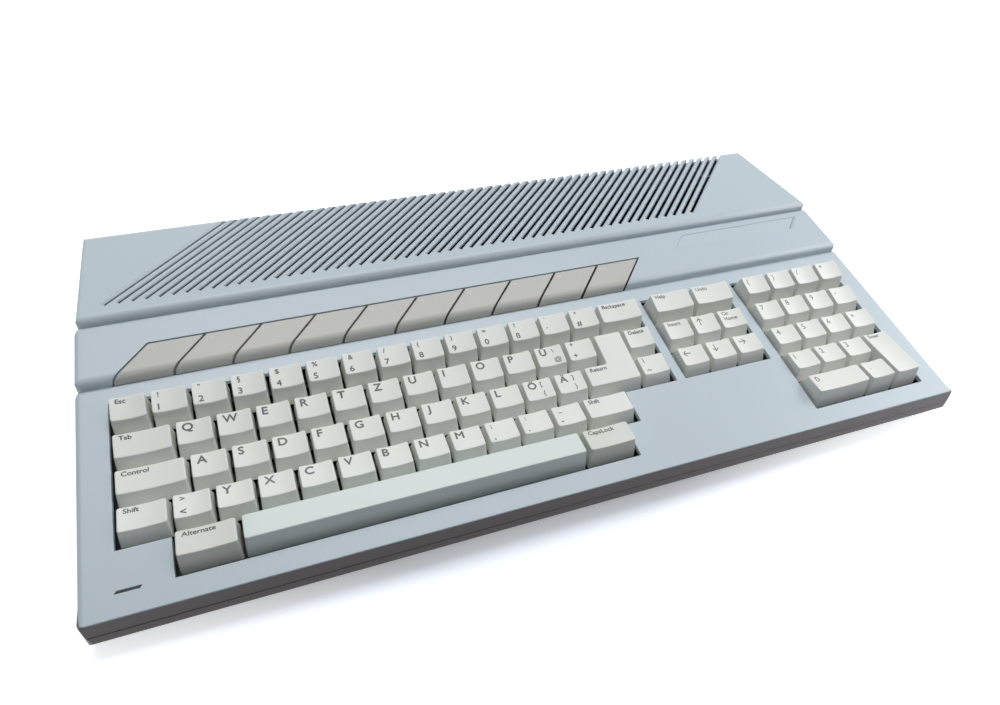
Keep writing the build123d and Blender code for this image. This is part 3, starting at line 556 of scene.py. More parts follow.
# %% [markdown]
# The lines start at the ceiling inside the cap, go down to the rim of its skirt and then up the outer
# walls. The cap could be a solid block for all that is seen from above. The real one is hollow,
# and a look between the keys finds its rim, so the inside is worth two lines.

# %% Inside and walls of a cap
SKIRT, WALL = -4.4, 1.3
CEILING_SHARE, CEILING_DROP = 0.9, 1.4
WALL_SHARES = (0, 0.04, 0.5, 0.9)


def wall_rings(corners, height, steps):
    """Lines from the ceiling inside a cap to its rim, and up its walls."""
    ceiling = min(height(*p) for p in line_at(corners, 1, steps)) - DISH - CEILING_DROP
    rings = [[(*p, ceiling) for p in line_at(corners, CEILING_SHARE, steps, WALL)]]
    rings.append([(*p, SKIRT) for p in line_at(corners, 0, steps, WALL)])
    for share in WALL_SHARES:
        line = line_at(corners, share, steps)
        rings.append([(*p, SKIRT + (height(*p) - SKIRT) * share) for p in line])
    return rings


print("lines in the walls:", len(wall_rings(unit_cell, first_top, TOP_STEPS)))

# %% [markdown]
# At the top the lines go round the edge in a quarter circle, and then close in on the middle, always
# at the height that the formula gives. The last one is closed by a single small face.

# %% Edge and top of a cap
EDGE_RADIUS, EDGE_SHARE = 0.45, 0.97
EDGE_TURNS = (0, 22, 45, 68, 90)
TOP_SHARES = (0.93, 0.75, 0.5, 0.25, 0.08)


def top_rings(corners, height, centre, steps):
    """Lines round the edge of a cap's top, and from there to its middle."""
    rings = []
    for turn in EDGE_TURNS:
        inward = EDGE_RADIUS * (1 - math.cos(math.radians(turn)))
        drop = EDGE_RADIUS * (1 - math.sin(math.radians(turn)))
        line = line_at(corners, EDGE_SHARE + (1 - EDGE_SHARE) * turn / 90, steps, inward)
        rings.append([(*p, height(*p) - drop) for p in line])
    edge = [Vector(p[:2]) for p in rings[-1]]
    for share in TOP_SHARES:
        closer = [centre.lerp(p, share) for p in edge]
        rings.append([(*p, height(*p)) for p in closer])
    return rings


def cap_rings(corners, height, centre, steps):
    """All lines of a hollow cap, from the ceiling inside to the middle of the top."""
    return wall_rings(corners, height, steps) + top_rings(corners, height, centre, steps)


first_cap = cap_rings(unit_cell, first_top, Vector((UNIT / 2, -UNIT / 2)), TOP_STEPS)
print("lines in a cap:", len(first_cap), "with", sum(len(line) for line in first_cap), "points")

# %% [markdown]
# ## From lines to pieces
# Every small part of this lesson is made in the same way: closed lines are stacked into a skin,
# which is gathered in a list of points and a list of faces. Many skins can share one pair of lists
# and become one piece. Joining many objects afterwards would end the same, but far more slowly.

# %% Skins from stacked lines
def add_solid(mesh_data, rings):
    """Join stacked rings into a closed skin and add it to the lists of points and faces."""
    points, faces = mesh_data
    first, size = len(points), len(rings[0])
    for line in rings:
        points.extend(line)
    for level in range(len(rings) - 1):
        a, b = first + level * size, first + (level + 1) * size
        faces.extend((a + i, a + (i + 1) % size, b + (i + 1) % size, b + i) for i in range(size))
    faces.append(tuple(first + i for i in reversed(range(size))))
    faces.append(tuple(first + (len(rings) - 1) * size + i for i in range(size)))


def add_block(mesh_data, low, high):
    """A block between two opposite corners."""
    square = [(low[0], low[1]), (high[0], low[1]), (high[0], high[1]), (low[0], high[1])]
    add_solid(mesh_data, [[(*p, z) for p in square] for z in (low[2], high[2])])


trial = ([], [])
add_solid(trial, first_cap)
print("faces in a cap:", len(trial[1]))

# %% [markdown]
# A piece lies on a slope or a wall, whose matrix takes its points from millimetres to metres. It
# also rides on a body of the machine, as a child of the body's empty, so that a legend goes down
# with its key and a contact stays with the case.

# %% Pieces that ride on a body
def piece_from(name, mesh_data, body, finish, place=deck):
    """A new piece from points in millimetres on a slope or wall, riding on a body."""
    mesh = bpy.data.meshes.new(name)
    mesh.from_pydata([place @ Vector(p) for p in mesh_data[0]], [], mesh_data[1])
    mesh.polygons.foreach_set("use_smooth", [True] * len(mesh.polygons))
    mesh.materials.append(finish)
    piece = bpy.data.objects.new(name, mesh)
    scene.collection.objects.link(piece)
    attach(piece, body)
    return piece


def move_to_key(mesh_data, first, left, row):
    """Move the points from a given one on from their own cell to the key's place on the deck."""
    points = mesh_data[0]
    points[first:] = [(x + left * UNIT, y - row * UNIT, z) for x, y, z in points[first:]]


unit_on_deck = (deck @ Vector((UNIT, 0, 0)) - deck.translation).length
print("one unit on the deck:", round(unit_on_deck, 4), "m")

# %% [markdown]
# ## The caps on the grid
# Under each cap a square stem slides in the frame. The space bar, nine units wide, has three, because
# it would tilt on one. The caps of a group are gathered in one pair of lists, since they share a
# body. Linked copies of one cap would be lighter, but the caps differ from row to row.

# %% Caps of all keys on the grid
STEMS = {9: (-3.2, 0, 3.2)}
STEM_HALF, STEM_END, STEM_TOP = 2.75, -9.2, 1.0
LONG_KEY, LONG_STEPS = 4, 24
caps = {}


def add_stem(mesh_data, x, y):
    """The square post below a cap."""
    low, high = (x - STEM_HALF, y - STEM_HALF, STEM_END), (x + STEM_HALF, y + STEM_HALF, STEM_TOP)
    add_block(mesh_data, low, high)


for body, left, row, width, rows, legend in keys:
    is_long = width > LONG_KEY
    across, deep = width * UNIT, rows * UNIT
    cell = [(0, -deep), (across, -deep), (across, 0), (0, 0)]
    height = top_surface(width, row, rows, -BAR_CROWN if is_long else DISH)
    middle = Vector((across / 2, -deep / 2 + (FRONT_INSET - BACK_INSET) / 2))
    mesh_data = caps.setdefault(body, ([], []))
    first = len(mesh_data[0])
    add_solid(mesh_data, cap_rings(cell, height, middle, LONG_STEPS if is_long else TOP_STEPS))
    for offset in STEMS.get(width, (0,)):
        add_stem(mesh_data, across / 2 + offset * UNIT, -deep / 2)
    move_to_key(mesh_data, first, left, row)
print("bodies with caps:", len(caps), "points:", sum(len(data[0]) for data in caps.values()))

# %% [markdown]
# The return key is as high as two rows and reaches three quarters of a key further to the left in
# the lower one, so its outline is a step. Its top has no dip, because a dip in one leg of the step
# would end in a ridge at the other.

# %% The return key
RETURN_STEPS = 4
return_left, return_step, return_right = 12.75 * UNIT, 13.5 * UNIT, 14.5 * UNIT
step_cell = [
    (return_left, -3 * UNIT), (return_right, -3 * UNIT), (return_right, -UNIT),
    (return_step, -UNIT), (return_step, -2 * UNIT), (return_left, -2 * UNIT),
]
flat_top = top_surface(1, 1, 2, 0)


def return_height(x, y):
    """Height of the return key's top, whose own cell starts one row down."""
    return flat_top(x, y + UNIT)


mesh_data = caps.setdefault("return_key", ([], []))
stem_x = (return_step + return_right) / 2
return_middle = Vector((stem_x, -2.5 * UNIT + 1))
add_solid(mesh_data, cap_rings(step_cell, return_height, return_middle, RETURN_STEPS))
add_stem(mesh_data, stem_x, -2 * UNIT)
print("return key:", round(return_right - return_left, 1), "mm wide at its foot")

# %% [markdown]
# The smooth caps take the place of the solid ones. The solids stay in the frame for their weight and
# their joints, and each cap keeps the finish of the solid that it replaces.

# %% Smooth caps for the solid ones
for body, mesh_data in caps.items():
    cap = piece_from(f"{body}_moulded", mesh_data, body, finishes[slot_of[body]])
    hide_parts(body)

# %% [markdown]
# ## The round backs of the louvres
# The slats between the slots are round, like rods laid side by side, and the solid has them with
# flat bevels. Rounding the solid would need hundreds of small faces, so a thin round back is laid
# over each slat. At its front end the back starts below the surface and rises to it, and at the rear
# it follows the rounded back edge of the case. A station is a distance along the slat, with how far
# the back lies below the top there.

# %% Stations along a slat
SLAT_FRONT, EDGE_START, EDGE_TURN = 46.3, 112.0, 4.98
SLAT_LIFT = 0.02


def back_edge_drop(y):
    """How far the rounded back edge lies below the top."""
    past = max(0.0, y - EDGE_START)
    return EDGE_TURN - math.sqrt(EDGE_TURN**2 - past**2)


stations = [(-1.7, 0.35), (-0.4, 0.06), (1.0, -SLAT_LIFT)]
for past_edge in (0, 1.5, 2.8, 3.8, 4.5, 4.85, 4.97):
    stations.append((EDGE_START - SLAT_FRONT + past_edge, -SLAT_LIFT))
print("stations:", len(stations), "drop at the last one:", round(back_edge_drop(116.97), 2), "mm")

# %% [markdown]
# The slats run at 45 degrees, so a line across one moves to the right by as much as it moves back.
# Each line is half an ellipse, wider than it is deep.

# %% Round backs
SLATS, SLAT_PITCH, SLAT_START = 53, 6.85, -214.975
SLAT_HALF, SLAT_DEEP, SLAT_STEP = 2.33, 2.1, 15
REAR_TOP = 60.0

backs = ([], [])
for i in range(SLATS):
    rings = []
    for along, sunk in stations:
        y = SLAT_FRONT + along
        middle = SLAT_START + i * SLAT_PITCH + along
        top = REAR_TOP - sunk - back_edge_drop(y)
        line = []
        for turn in range(0, 181, SLAT_STEP):
            across, up = math.cos(math.radians(turn)), math.sin(math.radians(turn))
            line.append((middle + SLAT_HALF * across, y, top - SLAT_DEEP * (1 - up)))
        rings.append(line)
    add_solid(backs, rings)
whole = Matrix.Scale(MM, 4)
slat_backs = piece_from("louvre_backs", backs, "case", finishes["case_light"], whole)
print("round backs:", SLATS, "with", len(backs[1]), "faces")

# %% [markdown]
# ## The printed legends
# The letters were printed into the caps in dark grey and can't be felt. The keys at the right have
# a paler print, and the function keys a light grey one. Each ink is a plastic like the cap's own.

# %% Inks
INK = {"roughness": 0.5, "grain": 0.02, "grain_size": 0.0005, "tone": 0.02}
ink_dark = moulded_plastic("ink_dark", from_screen(84, 86, 88), **INK)
ink_pale = moulded_plastic("ink_pale", from_screen(116, 116, 114), **INK)
ink_light = moulded_plastic("ink_light", from_screen(206, 206, 201), **INK)
print("inks:", [ink.name for ink in (ink_dark, ink_pale, ink_light)])

# %% [markdown]
# A text object is the direct way to draw a legend, but it stays flat, and the tops dip. So each line
# of print becomes a mesh. It is made once and kept, because many keys share a sign. The letters are
# a little wider than the font has them.

# %% Lines of print
INK_WIDTH = 1.16
printed_lines = {}


def line_of_print(text, size):
    """Points and faces of a line of print, with its left end and its baseline at the origin."""
    if (text, size) not in printed_lines:
        words = bpy.data.curves.new("words", "FONT")
        words.body = text
        words.size = size
        words.resolution_u = 4
        holder = bpy.data.objects.new("words", words)
        mesh = bpy.data.meshes.new_from_object(holder)
        left = min(v.co.x for v in mesh.vertices)
        points = [((v.co.x - left) * INK_WIDTH, v.co.y) for v in mesh.vertices]
        printed_lines[text, size] = points, [tuple(p.vertices) for p in mesh.polygons]
        bpy.data.objects.remove(holder)
        bpy.data.meshes.remove(mesh)
    return printed_lines[text, size]


print("faces in a printed A:", len(line_of_print("A", 5.6)[1]))

# %% [markdown]
# The four cursor keys carry arrows with thin open heads. A font may have no such arrow, or another
# one on each computer, so they are drawn here from three strokes, pointing right, and then turned.

# %% Arrows
ARROW_TURNS = {"right": 0, "up": 90, "left": 180, "down": 270}


def arrow(turn, length=4.6, stroke=0.62, head=1.8):
    """A thin arrow made of three strokes."""
    tip = Vector((length / 2, 0))
    strokes = [(Vector((-length / 2, 0)), tip)]
    strokes += [(tip + Vector((-head, side * head)), tip) for side in (-1, 1)]
    spin = Matrix.Rotation(math.radians(turn), 2)
    points, faces = [], []
    for start, end in strokes:
        run = (end - start).normalized() * stroke / 2
        across = Vector((-run.y, run.x))
        first = len(points)
        for corner in (start - across, end + run - across, end + run + across, start + across):
            moved = spin @ corner
            points.append((moved.x + length / 2, moved.y))
        faces.append((first, first + 1, first + 2, first + 3))
    return points, faces


print("faces in an arrow:", len(arrow(0)[1]))

# %% [markdown]
# A Shrinkwrap modifier could press the print onto the cap, but the height of the top is known as
# a formula, so each point is simply lifted to it and a hair above. The print is bolder than the
# font. Drawing each line four times with small shifts thickens its strokes without harming
# a narrow M, and each layer lies a little higher, so that no two faces share a plane.

# %% Print laid on a surface
INK_LIFT, INK_LAYER = 0.05, 0.004


def lay_print(mesh_data, drawing, x, y, height, weight=0.0):
    """Lay a drawing on a surface, four times over when it is to be bold."""
    points, faces = drawing
    shifts = [(0, 0)] if not weight else [(weight, 0), (-weight, 0), (0, weight), (0, -weight)]
    for layer, (dx, dy) in enumerate(shifts):
        first = len(mesh_data[0])
        for px, py in points:
            px, py = x + px + dx, y + py + dy
            mesh_data[0].append((px, py, height(px, py) + INK_LIFT + layer * INK_LAYER))
        mesh_data[1].extend(tuple(first + i for i in face) for face in faces)


print("print lies", INK_LIFT, "mm above the cap")

# %% [markdown]
# Letters are large, the two signs of a number key are smaller with the shifted one on top, and whole
# words are smallest. The number block has lighter figures than the letters. Each kind is one line of
# a table: its size, how much its strokes are thickened, how far right of the margin and below the
# back edge it starts, and how far below it the next line stands.

# %% How each kind of legend is set
MARGIN = SIDE_INSET + 2.7
ARROW_DROP = 4.2
KINDS = {
    "letter": (5.6, 0.19, 0.0, 5.1, 0.0),
    "figure": (4.9, 0.09, 0.0, 5.1, 0.0),
    "point": (4.9, 0.09, 0.8, 5.6, 0.0),
    "upper sign": (3.6, 0.1, 0.3, 3.6, 0.0),
    "lower sign": (4.5, 0.13, 0.0, 10.4, 0.0),
    "word": (3.2, 0.11, 0.0, 3.2, 3.6),
    "side sign": (3.6, 0.06, 7.2, 4.2, 5.6),
}


def set_lines(ink, lines, kind, height):
    """Print lines of one kind on a cap."""
    size, weight, right, down, spacing = KINDS[kind]
    for i, text in enumerate(lines):
        y = -BACK_INSET - down - i * spacing
        lay_print(ink, line_of_print(text, size), MARGIN + right, y, height, weight)


print("kinds of legend:", len(KINDS))

# %% [markdown]
# A key may carry an arrow, one large sign, two signs or some words, and two letter keys have small
# signs at the right as well. The list of keys could name the kind, but it follows from the text.

# %% The legend of one key
def print_legend(ink, body, legend, height):
    """An arrow, one large sign, two signs or some words, with small signs at the right."""
    main, _, at_right = legend.partition("\t")
    lines = main.split("\n") if main else []
    if main in ARROW_TURNS:
        lay_print(ink, arrow(ARROW_TURNS[main]), MARGIN, -BACK_INSET - ARROW_DROP, height)
    elif main == ".":
        set_lines(ink, lines, "point", height)
    elif len(main) == 1:
        set_lines(ink, lines, "figure" if body.startswith("numpad") else "letter", height)
    elif len(lines) == 2 and len(lines[0]) == 1:
        set_lines(ink, lines[:1], "upper sign", height)
        set_lines(ink, lines[1:], "lower sign", height)
    else:
        set_lines(ink, lines, "word", height)
    set_lines(ink, at_right.split("\n") if at_right else [], "side sign", height)


sample = ([], [])
print_legend(sample, "escape_key", "Esc", first_top)
print("faces in the first legend:", len(sample[1]))

# %% [markdown]
# The print of a group of keys is gathered like its caps. The return key's word is given its own
# place, in the left part of its lower half.

# %% Print every cap
RETURN_PRINT = (return_left + 4.0, -2 * UNIT - 5.2)
# Keys whose print is a paler grey.
PALE_PRINTED = ("numpad", "cursor", "help", "undo")
prints = {}
for body, left, row, width, rows, legend in keys:
    ink = prints.setdefault(body, ([], []))
    first = len(ink[0])
    print_legend(ink, body, legend, top_surface(width, row, rows))
    move_to_key(ink, first, left, row)

ink = prints.setdefault("return_key", ([], []))
word_size, word_weight = KINDS["word"][:2]
lay_print(ink, line_of_print("Return", word_size), *RETURN_PRINT, return_height, word_weight)
for body, ink in prints.items():
    if ink[0]:
        piece_from(f"{body}_print", ink, body, ink_pale if body.startswith(PALE_PRINTED) else ink_dark)
print("bodies with print:", sum(1 for ink in prints.values() if ink[0]))

# %% [markdown]
# The function keys carry their numbers in a light grey that hardly shows, in the far left corner.
# They lie in the plane of the band, so they are drawn with the band's own axes.

# %% Print the function keys
FUNCTION_KEYS, FUNCTION_PITCH = 10, 28.9
NUMBER_PLACE, NUMBER_SIZE, NUMBER_WEIGHT = (20.0, 14.2), 2.7, 0.05


def band_height(x, y):
    """The band's own plane."""
    return 0.0


for i in range(FUNCTION_KEYS):
    ink = ([], [])
    x, y = NUMBER_PLACE[0] + i * FUNCTION_PITCH, NUMBER_PLACE[1]
    lay_print(ink, line_of_print(f"F{i + 1}", NUMBER_SIZE), x, y, band_height, NUMBER_WEIGHT)
    piece_from(f"function_key_{i + 1}_print", ink, f"function_key_{i + 1}", ink_light, band)
print("function keys printed:", FUNCTION_KEYS)

# %% [markdown]
# ## The plate at the right of the band
# A thin slanted plate lies almost flush in the band. It is blank, and a dark line closes it at the
# right, in the same slant as its ends. The line is printed, so it could be a stripe in the plate's
# finish. A thin strip of its own is easier to place and stays sharp.

# %% Line at the end of the plate
PLATE_DEPTH, PLATE_END, PLATE_FRONT, PLATE_LENGTH = 0.15, 436.9, 21.3, 9.5
LINE_WIDTH, LINE_BELOW, LINE_ABOVE = 0.7, 0.01, 0.03

low, high = (PLATE_END - PLATE_LENGTH, PLATE_FRONT), (PLATE_END, PLATE_FRONT + PLATE_LENGTH)
outline = [low, (low[0] + LINE_WIDTH, low[1]), (high[0] + LINE_WIDTH, high[1]), high]
heights = (-PLATE_DEPTH - LINE_BELOW, -PLATE_DEPTH + LINE_ABOVE)
end_line = ([], [])
add_solid(end_line, [[(*p, z) for p in outline] for z in heights])
piece_from("plate_end_line", end_line, "case", ink_dark, band)
print("plate line ends at", high)

# %% [markdown]
# ## The sockets
# The sockets sit in the rear wall and in the right side, so both walls get axes of their own: x and
# y along the wall as somebody sees it who stands before it, z out of it. The small things in the
# sockets are turned parts, and a turned part is a stack of circles on its wall.

# %% Walls to build on
REAR_WALL, SIDE_WALL = 114.5, 229.3


def rear_place(x, z):
    """Axes on the rear wall, with the origin at a place given in millimetres."""
    return Matrix(((-MM, 0, 0, x * MM), (0, 0, MM, REAR_WALL * MM), (0, MM, 0, z * MM), (0, 0, 0, 1)))


def side_place(y, z):
    """Axes on the right side, with the origin at a place given in millimetres."""
    return Matrix(((0, 0, MM, SIDE_WALL * MM), (MM, 0, 0, y * MM), (0, MM, 0, z * MM), (0, 0, 0, 1)))


def turned(mesh_data, x, y, profile, sides=16):
    """A turned part: circles of the given radius and height, stacked along the wall's normal."""
    turns = [2 * math.pi * i / sides for i in range(sides)]
    rings = [[(x + r * math.cos(t), y + r * math.sin(t), z) for t in turns] for r, z in profile]
    add_solid(mesh_data, rings)


print("rear wall at", REAR_WALL, "mm, side wall at", SIDE_WALL, "mm")

# %% [markdown]
# A multi-way connector is two rows of round contacts in a D-shaped shell, pins in one kind and
# holes in the other. The upper row has one contact more, and the ends of the shell lean in towards
# the lower one, so that a plug goes in only one way up. Hexagonal nuts stand beside the shell, for the
# screws of the plug. A connector could be bought as a ready model, but few lines describe it.

# %% The shape of a multi-way connector
SHELL_HEIGHT, SHELL_LEAN, SHELL_INSET = 8.4, 10, 0.75
CONTACT_PITCH, ROW_RISE = 2.76, 1.42
PIN, PIN_BLOCK = [(0.5, -3.9), (0.5, 1.2), (0.3, 1.6)], (-3.85, -3.6)
HOLE, HOLE_BLOCK = [(0.62, 2.0), (0.62, 2.24), (0.5, 2.3)], (1.6, 2.2)
NUT = [(2.9, 2.4), (2.9, 5.0), (2.5, 5.4), (1.2, 5.4), (1.2, 3.4)]
NUT_OFFSET = 4


def contact_spots(count):
    """Places of the contacts: the upper row has one more than the lower one."""
    upper = (count + 1) // 2
    rows = [(upper, ROW_RISE), (count - upper, -ROW_RISE)]
    return [((i - (n - 1) / 2) * CONTACT_PITCH, y) for n, y in rows for i in range(n)]


def d_outline(length, inset):
    """The D-shaped outline, drawn in by an inset."""
    half, rise = length / 2 - inset, SHELL_HEIGHT / 2 - inset
    lean = 2 * rise * math.tan(math.radians(SHELL_LEAN))
    return [(-half + lean, -rise), (half - lean, -rise), (half, rise), (-half, rise)]


print("outline of a 39 mm shell:", [[round(c, 1) for c in corner] for corner in d_outline(39, 0)])

# %% [markdown]
# There are five such connectors: printer, modem and disk at the rear, and two for controllers at the
# right, which have no nuts. One loop makes them all, so they can't come out different by mistake.

# %% Multi-way connectors
PORT_HEIGHT = 26.5
connectors = [
    ("printer", rear_place(38, PORT_HEIGHT), 39, 25, False),
    ("modem", rear_place(-24, PORT_HEIGHT), 39, 25, True),
    ("disk", rear_place(-114, PORT_HEIGHT), 31, 19, False),
    ("controller_front", side_place(58, PORT_HEIGHT), 17, 9, True),
    ("controller_rear", side_place(92, PORT_HEIGHT), 17, 9, True),
]
for name, place, length, count, has_pins in connectors:
    contacts, block, nuts = ([], []), ([], []), ([], [])
    for x, y in contact_spots(count):
        turned(contacts, x, y, PIN if has_pins else HOLE, sides=10 if has_pins else 12)
    depths = PIN_BLOCK if has_pins else HOLE_BLOCK
    add_solid(block, [[(*p, z) for p in d_outline(length, SHELL_INSET)] for z in depths])
    piece_from(f"{name}_contacts", contacts, "case", contact_brass, place)
    piece_from(f"{name}_block", block, "case", finishes["socket_black"], place)
    if not name.startswith("controller"):
        for side in (-1, 1):
            turned(nuts, side * (length / 2 + NUT_OFFSET), 0, NUT, sides=6)
        piece_from(f"{name}_nuts", nuts, "case", finishes["port_metal"], place)
print("connectors:", len(connectors), "contacts:", sum(connector[3] for connector in connectors))

# %% [markdown]
# The round sockets sit in round holes in the rear wall. From the outside in there is the steel
# collar that the plug slides into, then the black insulator with its contact holes. Up to eight
# holes stand on an arc that is open at the bottom, and the others form a small circle inside it.

# %% The contacts of a round socket
ARC_RADIUS, INNER_RADIUS, ARC_HOLES = 4.2, 1.9, 8
SHORT_ARC, LONG_ARC = 180, 270


def round_spots(count):
    """Places of the contact holes round a socket's middle."""
    spread = LONG_ARC if count > 5 else SHORT_ARC
    outer = min(count, ARC_HOLES)
    spots = [(ARC_RADIUS, 90 - spread / 2 + spread * i / (outer - 1)) for i in range(outer)]
    spots += [(INNER_RADIUS, 360 * i / (count - outer)) for i in range(count - outer)]
    return [(r * math.cos(math.radians(turn)), r * math.sin(math.radians(turn))) for r, turn in spots]


print("contacts on the arc of the largest:", ARC_HOLES, "inside it:", len(round_spots(14)) - ARC_HOLES)

# %% [markdown]
# All five sockets are alike but for their contacts, so the holes, the insulators and the collars
# become one piece each. A piece for every hole would only make the list of objects longer.

# %% Round sockets
SOCKET_HEIGHT = 28.2
ROUND_SOCKETS = [(162, 7), (134, 5), (108, 5), (80, 13), (-70, 14)]
ROUND_HOLE = [(0.7, 1.2), (0.7, 1.42), (0.6, 1.46)]
INSULATOR = [(5.7, 0.02), (5.7, 1.2), (5.4, 1.4)]
COLLAR = [(7.05, 0.02), (7.05, 1.9), (6.9, 2.05), (6.7, 1.9), (6.7, 0.04)]

collars, insulators, holes = ([], []), ([], []), ([], [])
for x, count in ROUND_SOCKETS:
    for right, up in round_spots(count):
        turned(holes, -x + right, SOCKET_HEIGHT + up, ROUND_HOLE, sides=12)
    turned(insulators, -x, SOCKET_HEIGHT, INSULATOR, sides=40)
    turned(collars, -x, SOCKET_HEIGHT, COLLAR, sides=40)
origin = rear_place(0, 0)
piece_from("round_socket_holes", holes, "case", contact_brass, origin)
piece_from("round_socket_insulators", insulators, "case", finishes["socket_black"], origin)
piece_from("round_socket_collars", collars, "case", finishes["port_metal"], origin)
print("round sockets:", len(ROUND_SOCKETS), "contacts:", sum(count for x, count in ROUND_SOCKETS))

# %% [markdown]
# ## The case screws
# Seven screws in the underside hold the two shells together. Their heads are domed, with a cross
# slot. A Boolean could cut the slot, but it is too small to see into, so it is drawn as two dark
# bars, a little proud of the dome.

# %% Screws in the underside
UNDERSIDE = 3.0
HEAD = [(2.8, -0.1), (2.8, 0.25), (2.4, 0.6), (1.4, 0.85), (0.3, 0.92)]
BAR_LONG, BAR_NARROW, BAR_LOW, BAR_HIGH = 1.5, 0.25, 0.6, 0.95
screw_places = [(x, y) for x in (-227.4, 227.4) for y in (-70, 8)] + [(x, 107.5) for x in (-190, 7, 202)]

under = Matrix(((MM, 0, 0, 0), (0, -MM, 0, 0), (0, 0, -MM, UNDERSIDE * MM), (0, 0, 0, 1)))
heads, slots = ([], []), ([], [])
for x, y in screw_places:
    turned(heads, x, -y, HEAD, sides=24)
    for half_x, half_y in ((BAR_LONG, BAR_NARROW), (BAR_NARROW, BAR_LONG)):
        add_block(slots, (x - half_x, -y - half_y, BAR_LOW), (x + half_x, -y + half_y, BAR_HIGH))
piece_from("case_screws", heads, "case", finishes["screw_steel"], under)
piece_from("case_screw_slots", slots, "case", finishes["frame_black"], under)
print("screws:", len(screw_places))

# %% [markdown]
# ## The floor and the light
# The machine lies on a white sweep. A brighter lamp could make the sweep white, but it would wash
# out the case as well. So the white is mixed in by the kind of ray: the camera and the reflections
# see white, and every other ray meets the plain lit surface.

# %% White where it is seen
scene.view_settings.view_transform = "Standard"


def white_where_seen(tree, lit, white):
    """Pure white for the camera and for reflections, the lit surface for everything else."""
    path = tree.nodes.new("ShaderNodeLightPath")
    seen = path.outputs["Is Camera Ray"]
    for ray in ("Is Glossy Ray", "Is Transmission Ray"):
        either = tree.nodes.new("ShaderNodeMath")
        either.operation = "MAXIMUM"
        tree.links.new(seen, either.inputs[0])
        tree.links.new(path.outputs[ray], either.inputs[1])
        seen = either.outputs["Value"]
    choose = tree.nodes.new("ShaderNodeMixShader")
    tree.links.new(seen, choose.inputs["Fac"])
    tree.links.new(lit, choose.inputs[1])
    tree.links.new(white, choose.inputs[2])
    return choose.outputs["Shader"]


print("view transform:", scene.view_settings.view_transform)

# %% [markdown]
# The sky fills the shadows, and it fades towards the horizon. The tops face up and stay bright,
# while the fronts of the keys and the underside of each step face the horizon and turn grey. An even
# sky would flatten both.

# %% A sky that fades towards the horizon
HORIZON, ZENITH = (0.16, 0.172, 0.19, 1), (0.86, 0.90, 0.97, 1)
FADE_END, SKY_STRENGTH = 0.9, 0.38


def fading_sky(tree):
    """Colour of the sky by how high it is looked at."""
    direction = tree.nodes.new("ShaderNodeTexCoord")
    axes = tree.nodes.new("ShaderNodeSeparateXYZ")
    fade = tree.nodes.new("ShaderNodeMapRange")
    fade.inputs["From Min"].default_value = 0.0
    fade.inputs["From Max"].default_value = FADE_END
    tint = tree.nodes.new("ShaderNodeMix")
    tint.data_type = "RGBA"
    tint.inputs["A"].default_value = HORIZON
    tint.inputs["B"].default_value = ZENITH
    tree.links.new(direction.outputs["Generated"], axes.inputs["Vector"])
    tree.links.new(axes.outputs["Z"], fade.inputs["Value"])
    tree.links.new(fade.outputs["Result"], tint.inputs["Factor"])
    return tint.outputs["Result"]


print("sky from", HORIZON[:3], "to", ZENITH[:3])

# %% [markdown]
# The world takes the fading sky as its light and plain white as its background. A picture of
# a studio would light the machine too, but it would show in every glossy face.

# %% The world
world = bpy.data.worlds.new("studio")
scene.world = world
world.use_nodes = True
sky = world.node_tree
ambient = sky.nodes["Background"]
ambient.inputs["Strength"].default_value = SKY_STRENGTH
sky.links.new(fading_sky(sky), ambient.inputs["Color"])
white = sky.nodes.new("ShaderNodeBackground")
white.inputs["Color"].default_value = (1, 1, 1, 1)
white.inputs["Strength"].default_value = 1.0
surface = white_where_seen(sky, ambient.outputs["Background"], white.outputs["Background"])
sky.links.new(surface, sky.nodes["World Output"].inputs["Surface"])
print("sky strength:", SKY_STRENGTH)

# %% [markdown]
# The floor is pale paper, with a glow that brings it to white. The glow would wipe out the soft
# shadow below the front edge, so it is low under the machine and swells further out. Where it is
# low, the floor stays darker, which is a painted shadow on top of the real one. Its middle lies a
# little to the left and in front of the machine's, and it is wider than it is deep, as the machine is.

# %% A glow that swells with distance, with a painted shadow near the machine
GLOW_OFFSET, GLOW_SQUEEZE = (0.03, 0.06, 0), (1.15, 1.6, 1)
SWELL_START, SWELL_END = 0.15, 0.35
# The low glow near the machine is a painted shadow, on top of the real one.
GLOW_IN_PAINTED_SHADOW, GLOW_HIGH = 0.3, 0.95


def glow_with_painted_shadow(tree):
    """Emission that grows with the distance from the middle of the floor, low near the machine as a
    painted shadow.
    """
    spot = tree.nodes.new("ShaderNodeTexCoord")
    stretch = tree.nodes.new("ShaderNodeMapping")
    stretch.inputs["Location"].default_value = GLOW_OFFSET
    stretch.inputs["Scale"].default_value = GLOW_SQUEEZE
    reach = tree.nodes.new("ShaderNodeVectorMath")
    reach.operation = "LENGTH"
    swell = tree.nodes.new("ShaderNodeMapRange")
    swell.inputs["From Min"].default_value = SWELL_START
    swell.inputs["From Max"].default_value = SWELL_END
    swell.inputs["To Min"].default_value = GLOW_IN_PAINTED_SHADOW
    swell.inputs["To Max"].default_value = GLOW_HIGH
    glow = tree.nodes.new("ShaderNodeEmission")
    tree.links.new(spot.outputs["Object"], stretch.inputs["Vector"])
    tree.links.new(stretch.outputs["Vector"], reach.inputs[0])
    tree.links.new(reach.outputs["Value"], swell.inputs["Value"])
    tree.links.new(swell.outputs["Result"], glow.inputs["Strength"])
    return glow.outputs["Emission"]


print("glow from", GLOW_IN_PAINTED_SHADOW, "to", GLOW_HIGH)

# %% [markdown]
# What pale paper throws back at the machine would fill the fronts of the keys with light, so for
# all rays but the seen ones it is a darker paper. A curved backdrop isn't needed, because the floor
# and the world are the same white where they meet.

# %% Floor that keeps a soft shadow
PAPER, DIM_PAPER = (0.79, 0.84, 0.94, 1), (0.36, 0.36, 0.37, 1)
PAPER_ROUGHNESS, FLOOR_SIZE = 0.9, 6

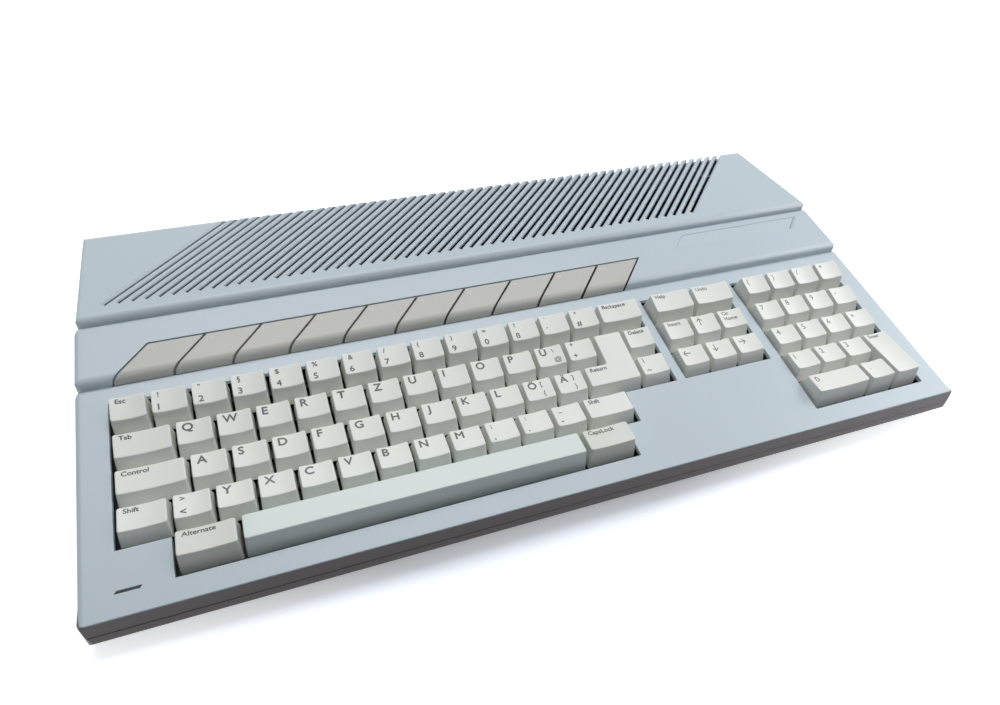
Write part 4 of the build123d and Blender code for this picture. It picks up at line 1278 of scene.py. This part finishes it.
bpy.ops.mesh.primitive_plane_add(size=FLOOR_SIZE, location=(0, 0, 0))
floor = bpy.context.object
floor.name = "floor"
floor_white = bpy.data.materials.new("floor_white")
floor_white.use_nodes = True
tree = floor_white.node_tree
paper = tree.nodes["Principled BSDF"]
paper.inputs["Base Color"].default_value = PAPER
paper.inputs["Roughness"].default_value = PAPER_ROUGHNESS
dim_paper = tree.nodes.new("ShaderNodeBsdfDiffuse")
dim_paper.inputs["Color"].default_value = DIM_PAPER
together = tree.nodes.new("ShaderNodeAddShader")
tree.links.new(paper.outputs["BSDF"], together.inputs[0])
tree.links.new(glow_with_painted_shadow(tree), together.inputs[1])
surface = white_where_seen(tree, dim_paper.outputs["BSDF"], together.outputs["Shader"])
tree.links.new(surface, tree.nodes["Material Output"].inputs["Surface"])
floor.data.materials.append(floor_white)
floor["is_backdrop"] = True
print("floor:", tuple(floor.dimensions))

# %% [markdown]
# ## The lamps
# Three lamps light the machine. The main one is a broad panel high up and a little behind, which
# gives bright tops, round-looking louvres and a soft shadow below the front edge. A weak one at the
# front right lifts the fronts at that end. The third is a wide panel low on the right, and it is
# seen in gloss alone: it draws the highlight along the right end of each step, and adds no light to
# flat faces. Small lamps would give hard shadows, so all three are areas.

# %% Lamps
def soft_box(name, place, target, size, power, color=(1, 1, 1)):
    """A rectangular lamp at a place, turned to face its target."""
    lamp = bpy.data.lights.new(name, "AREA")
    lamp.shape = "RECTANGLE"
    lamp.size, lamp.size_y = size
    lamp.energy = power
    lamp.color = color
    holder = bpy.data.objects.new(name, lamp)
    holder.location = place
    away = Vector(place) - Vector(target)
    holder.rotation_euler = away.to_track_quat("Z", "Y").to_euler()
    scene.collection.objects.link(holder)
    return holder


WARM, COOL = (1.0, 0.995, 0.985), (0.97, 0.985, 1.0)
MIDDLE, RIGHT_HALF, RIGHT_END = (0, 0, 0), (0.15, 0, 0.03), (0.18, 0, 0.03)
soft_box("key_light", (0.15, 0.60, 1.8), MIDDLE, size=(1.7, 0.8), power=26.5, color=WARM)
soft_box("side_light", (0.75, -0.35, 0.60), RIGHT_END, size=(0.5, 0.4), power=1.1)
gloss_light = soft_box(
    "gloss_light", (1.15, -0.30, 0.72), RIGHT_HALF, size=(1.4, 0.8), power=19, color=COOL
)
gloss_light.visible_diffuse = False

# %% [markdown]
# ## Done
# The size of the dressed machine is kept next to the size of the frame, so that the two can be compared.

# %% Finish
boxes = {"cad": case_box, "visual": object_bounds()}
low, high = boxes["visual"]
print("dressed size in millimetres:", [round((b - a) / MM, 1) for a, b in zip(low, high)])
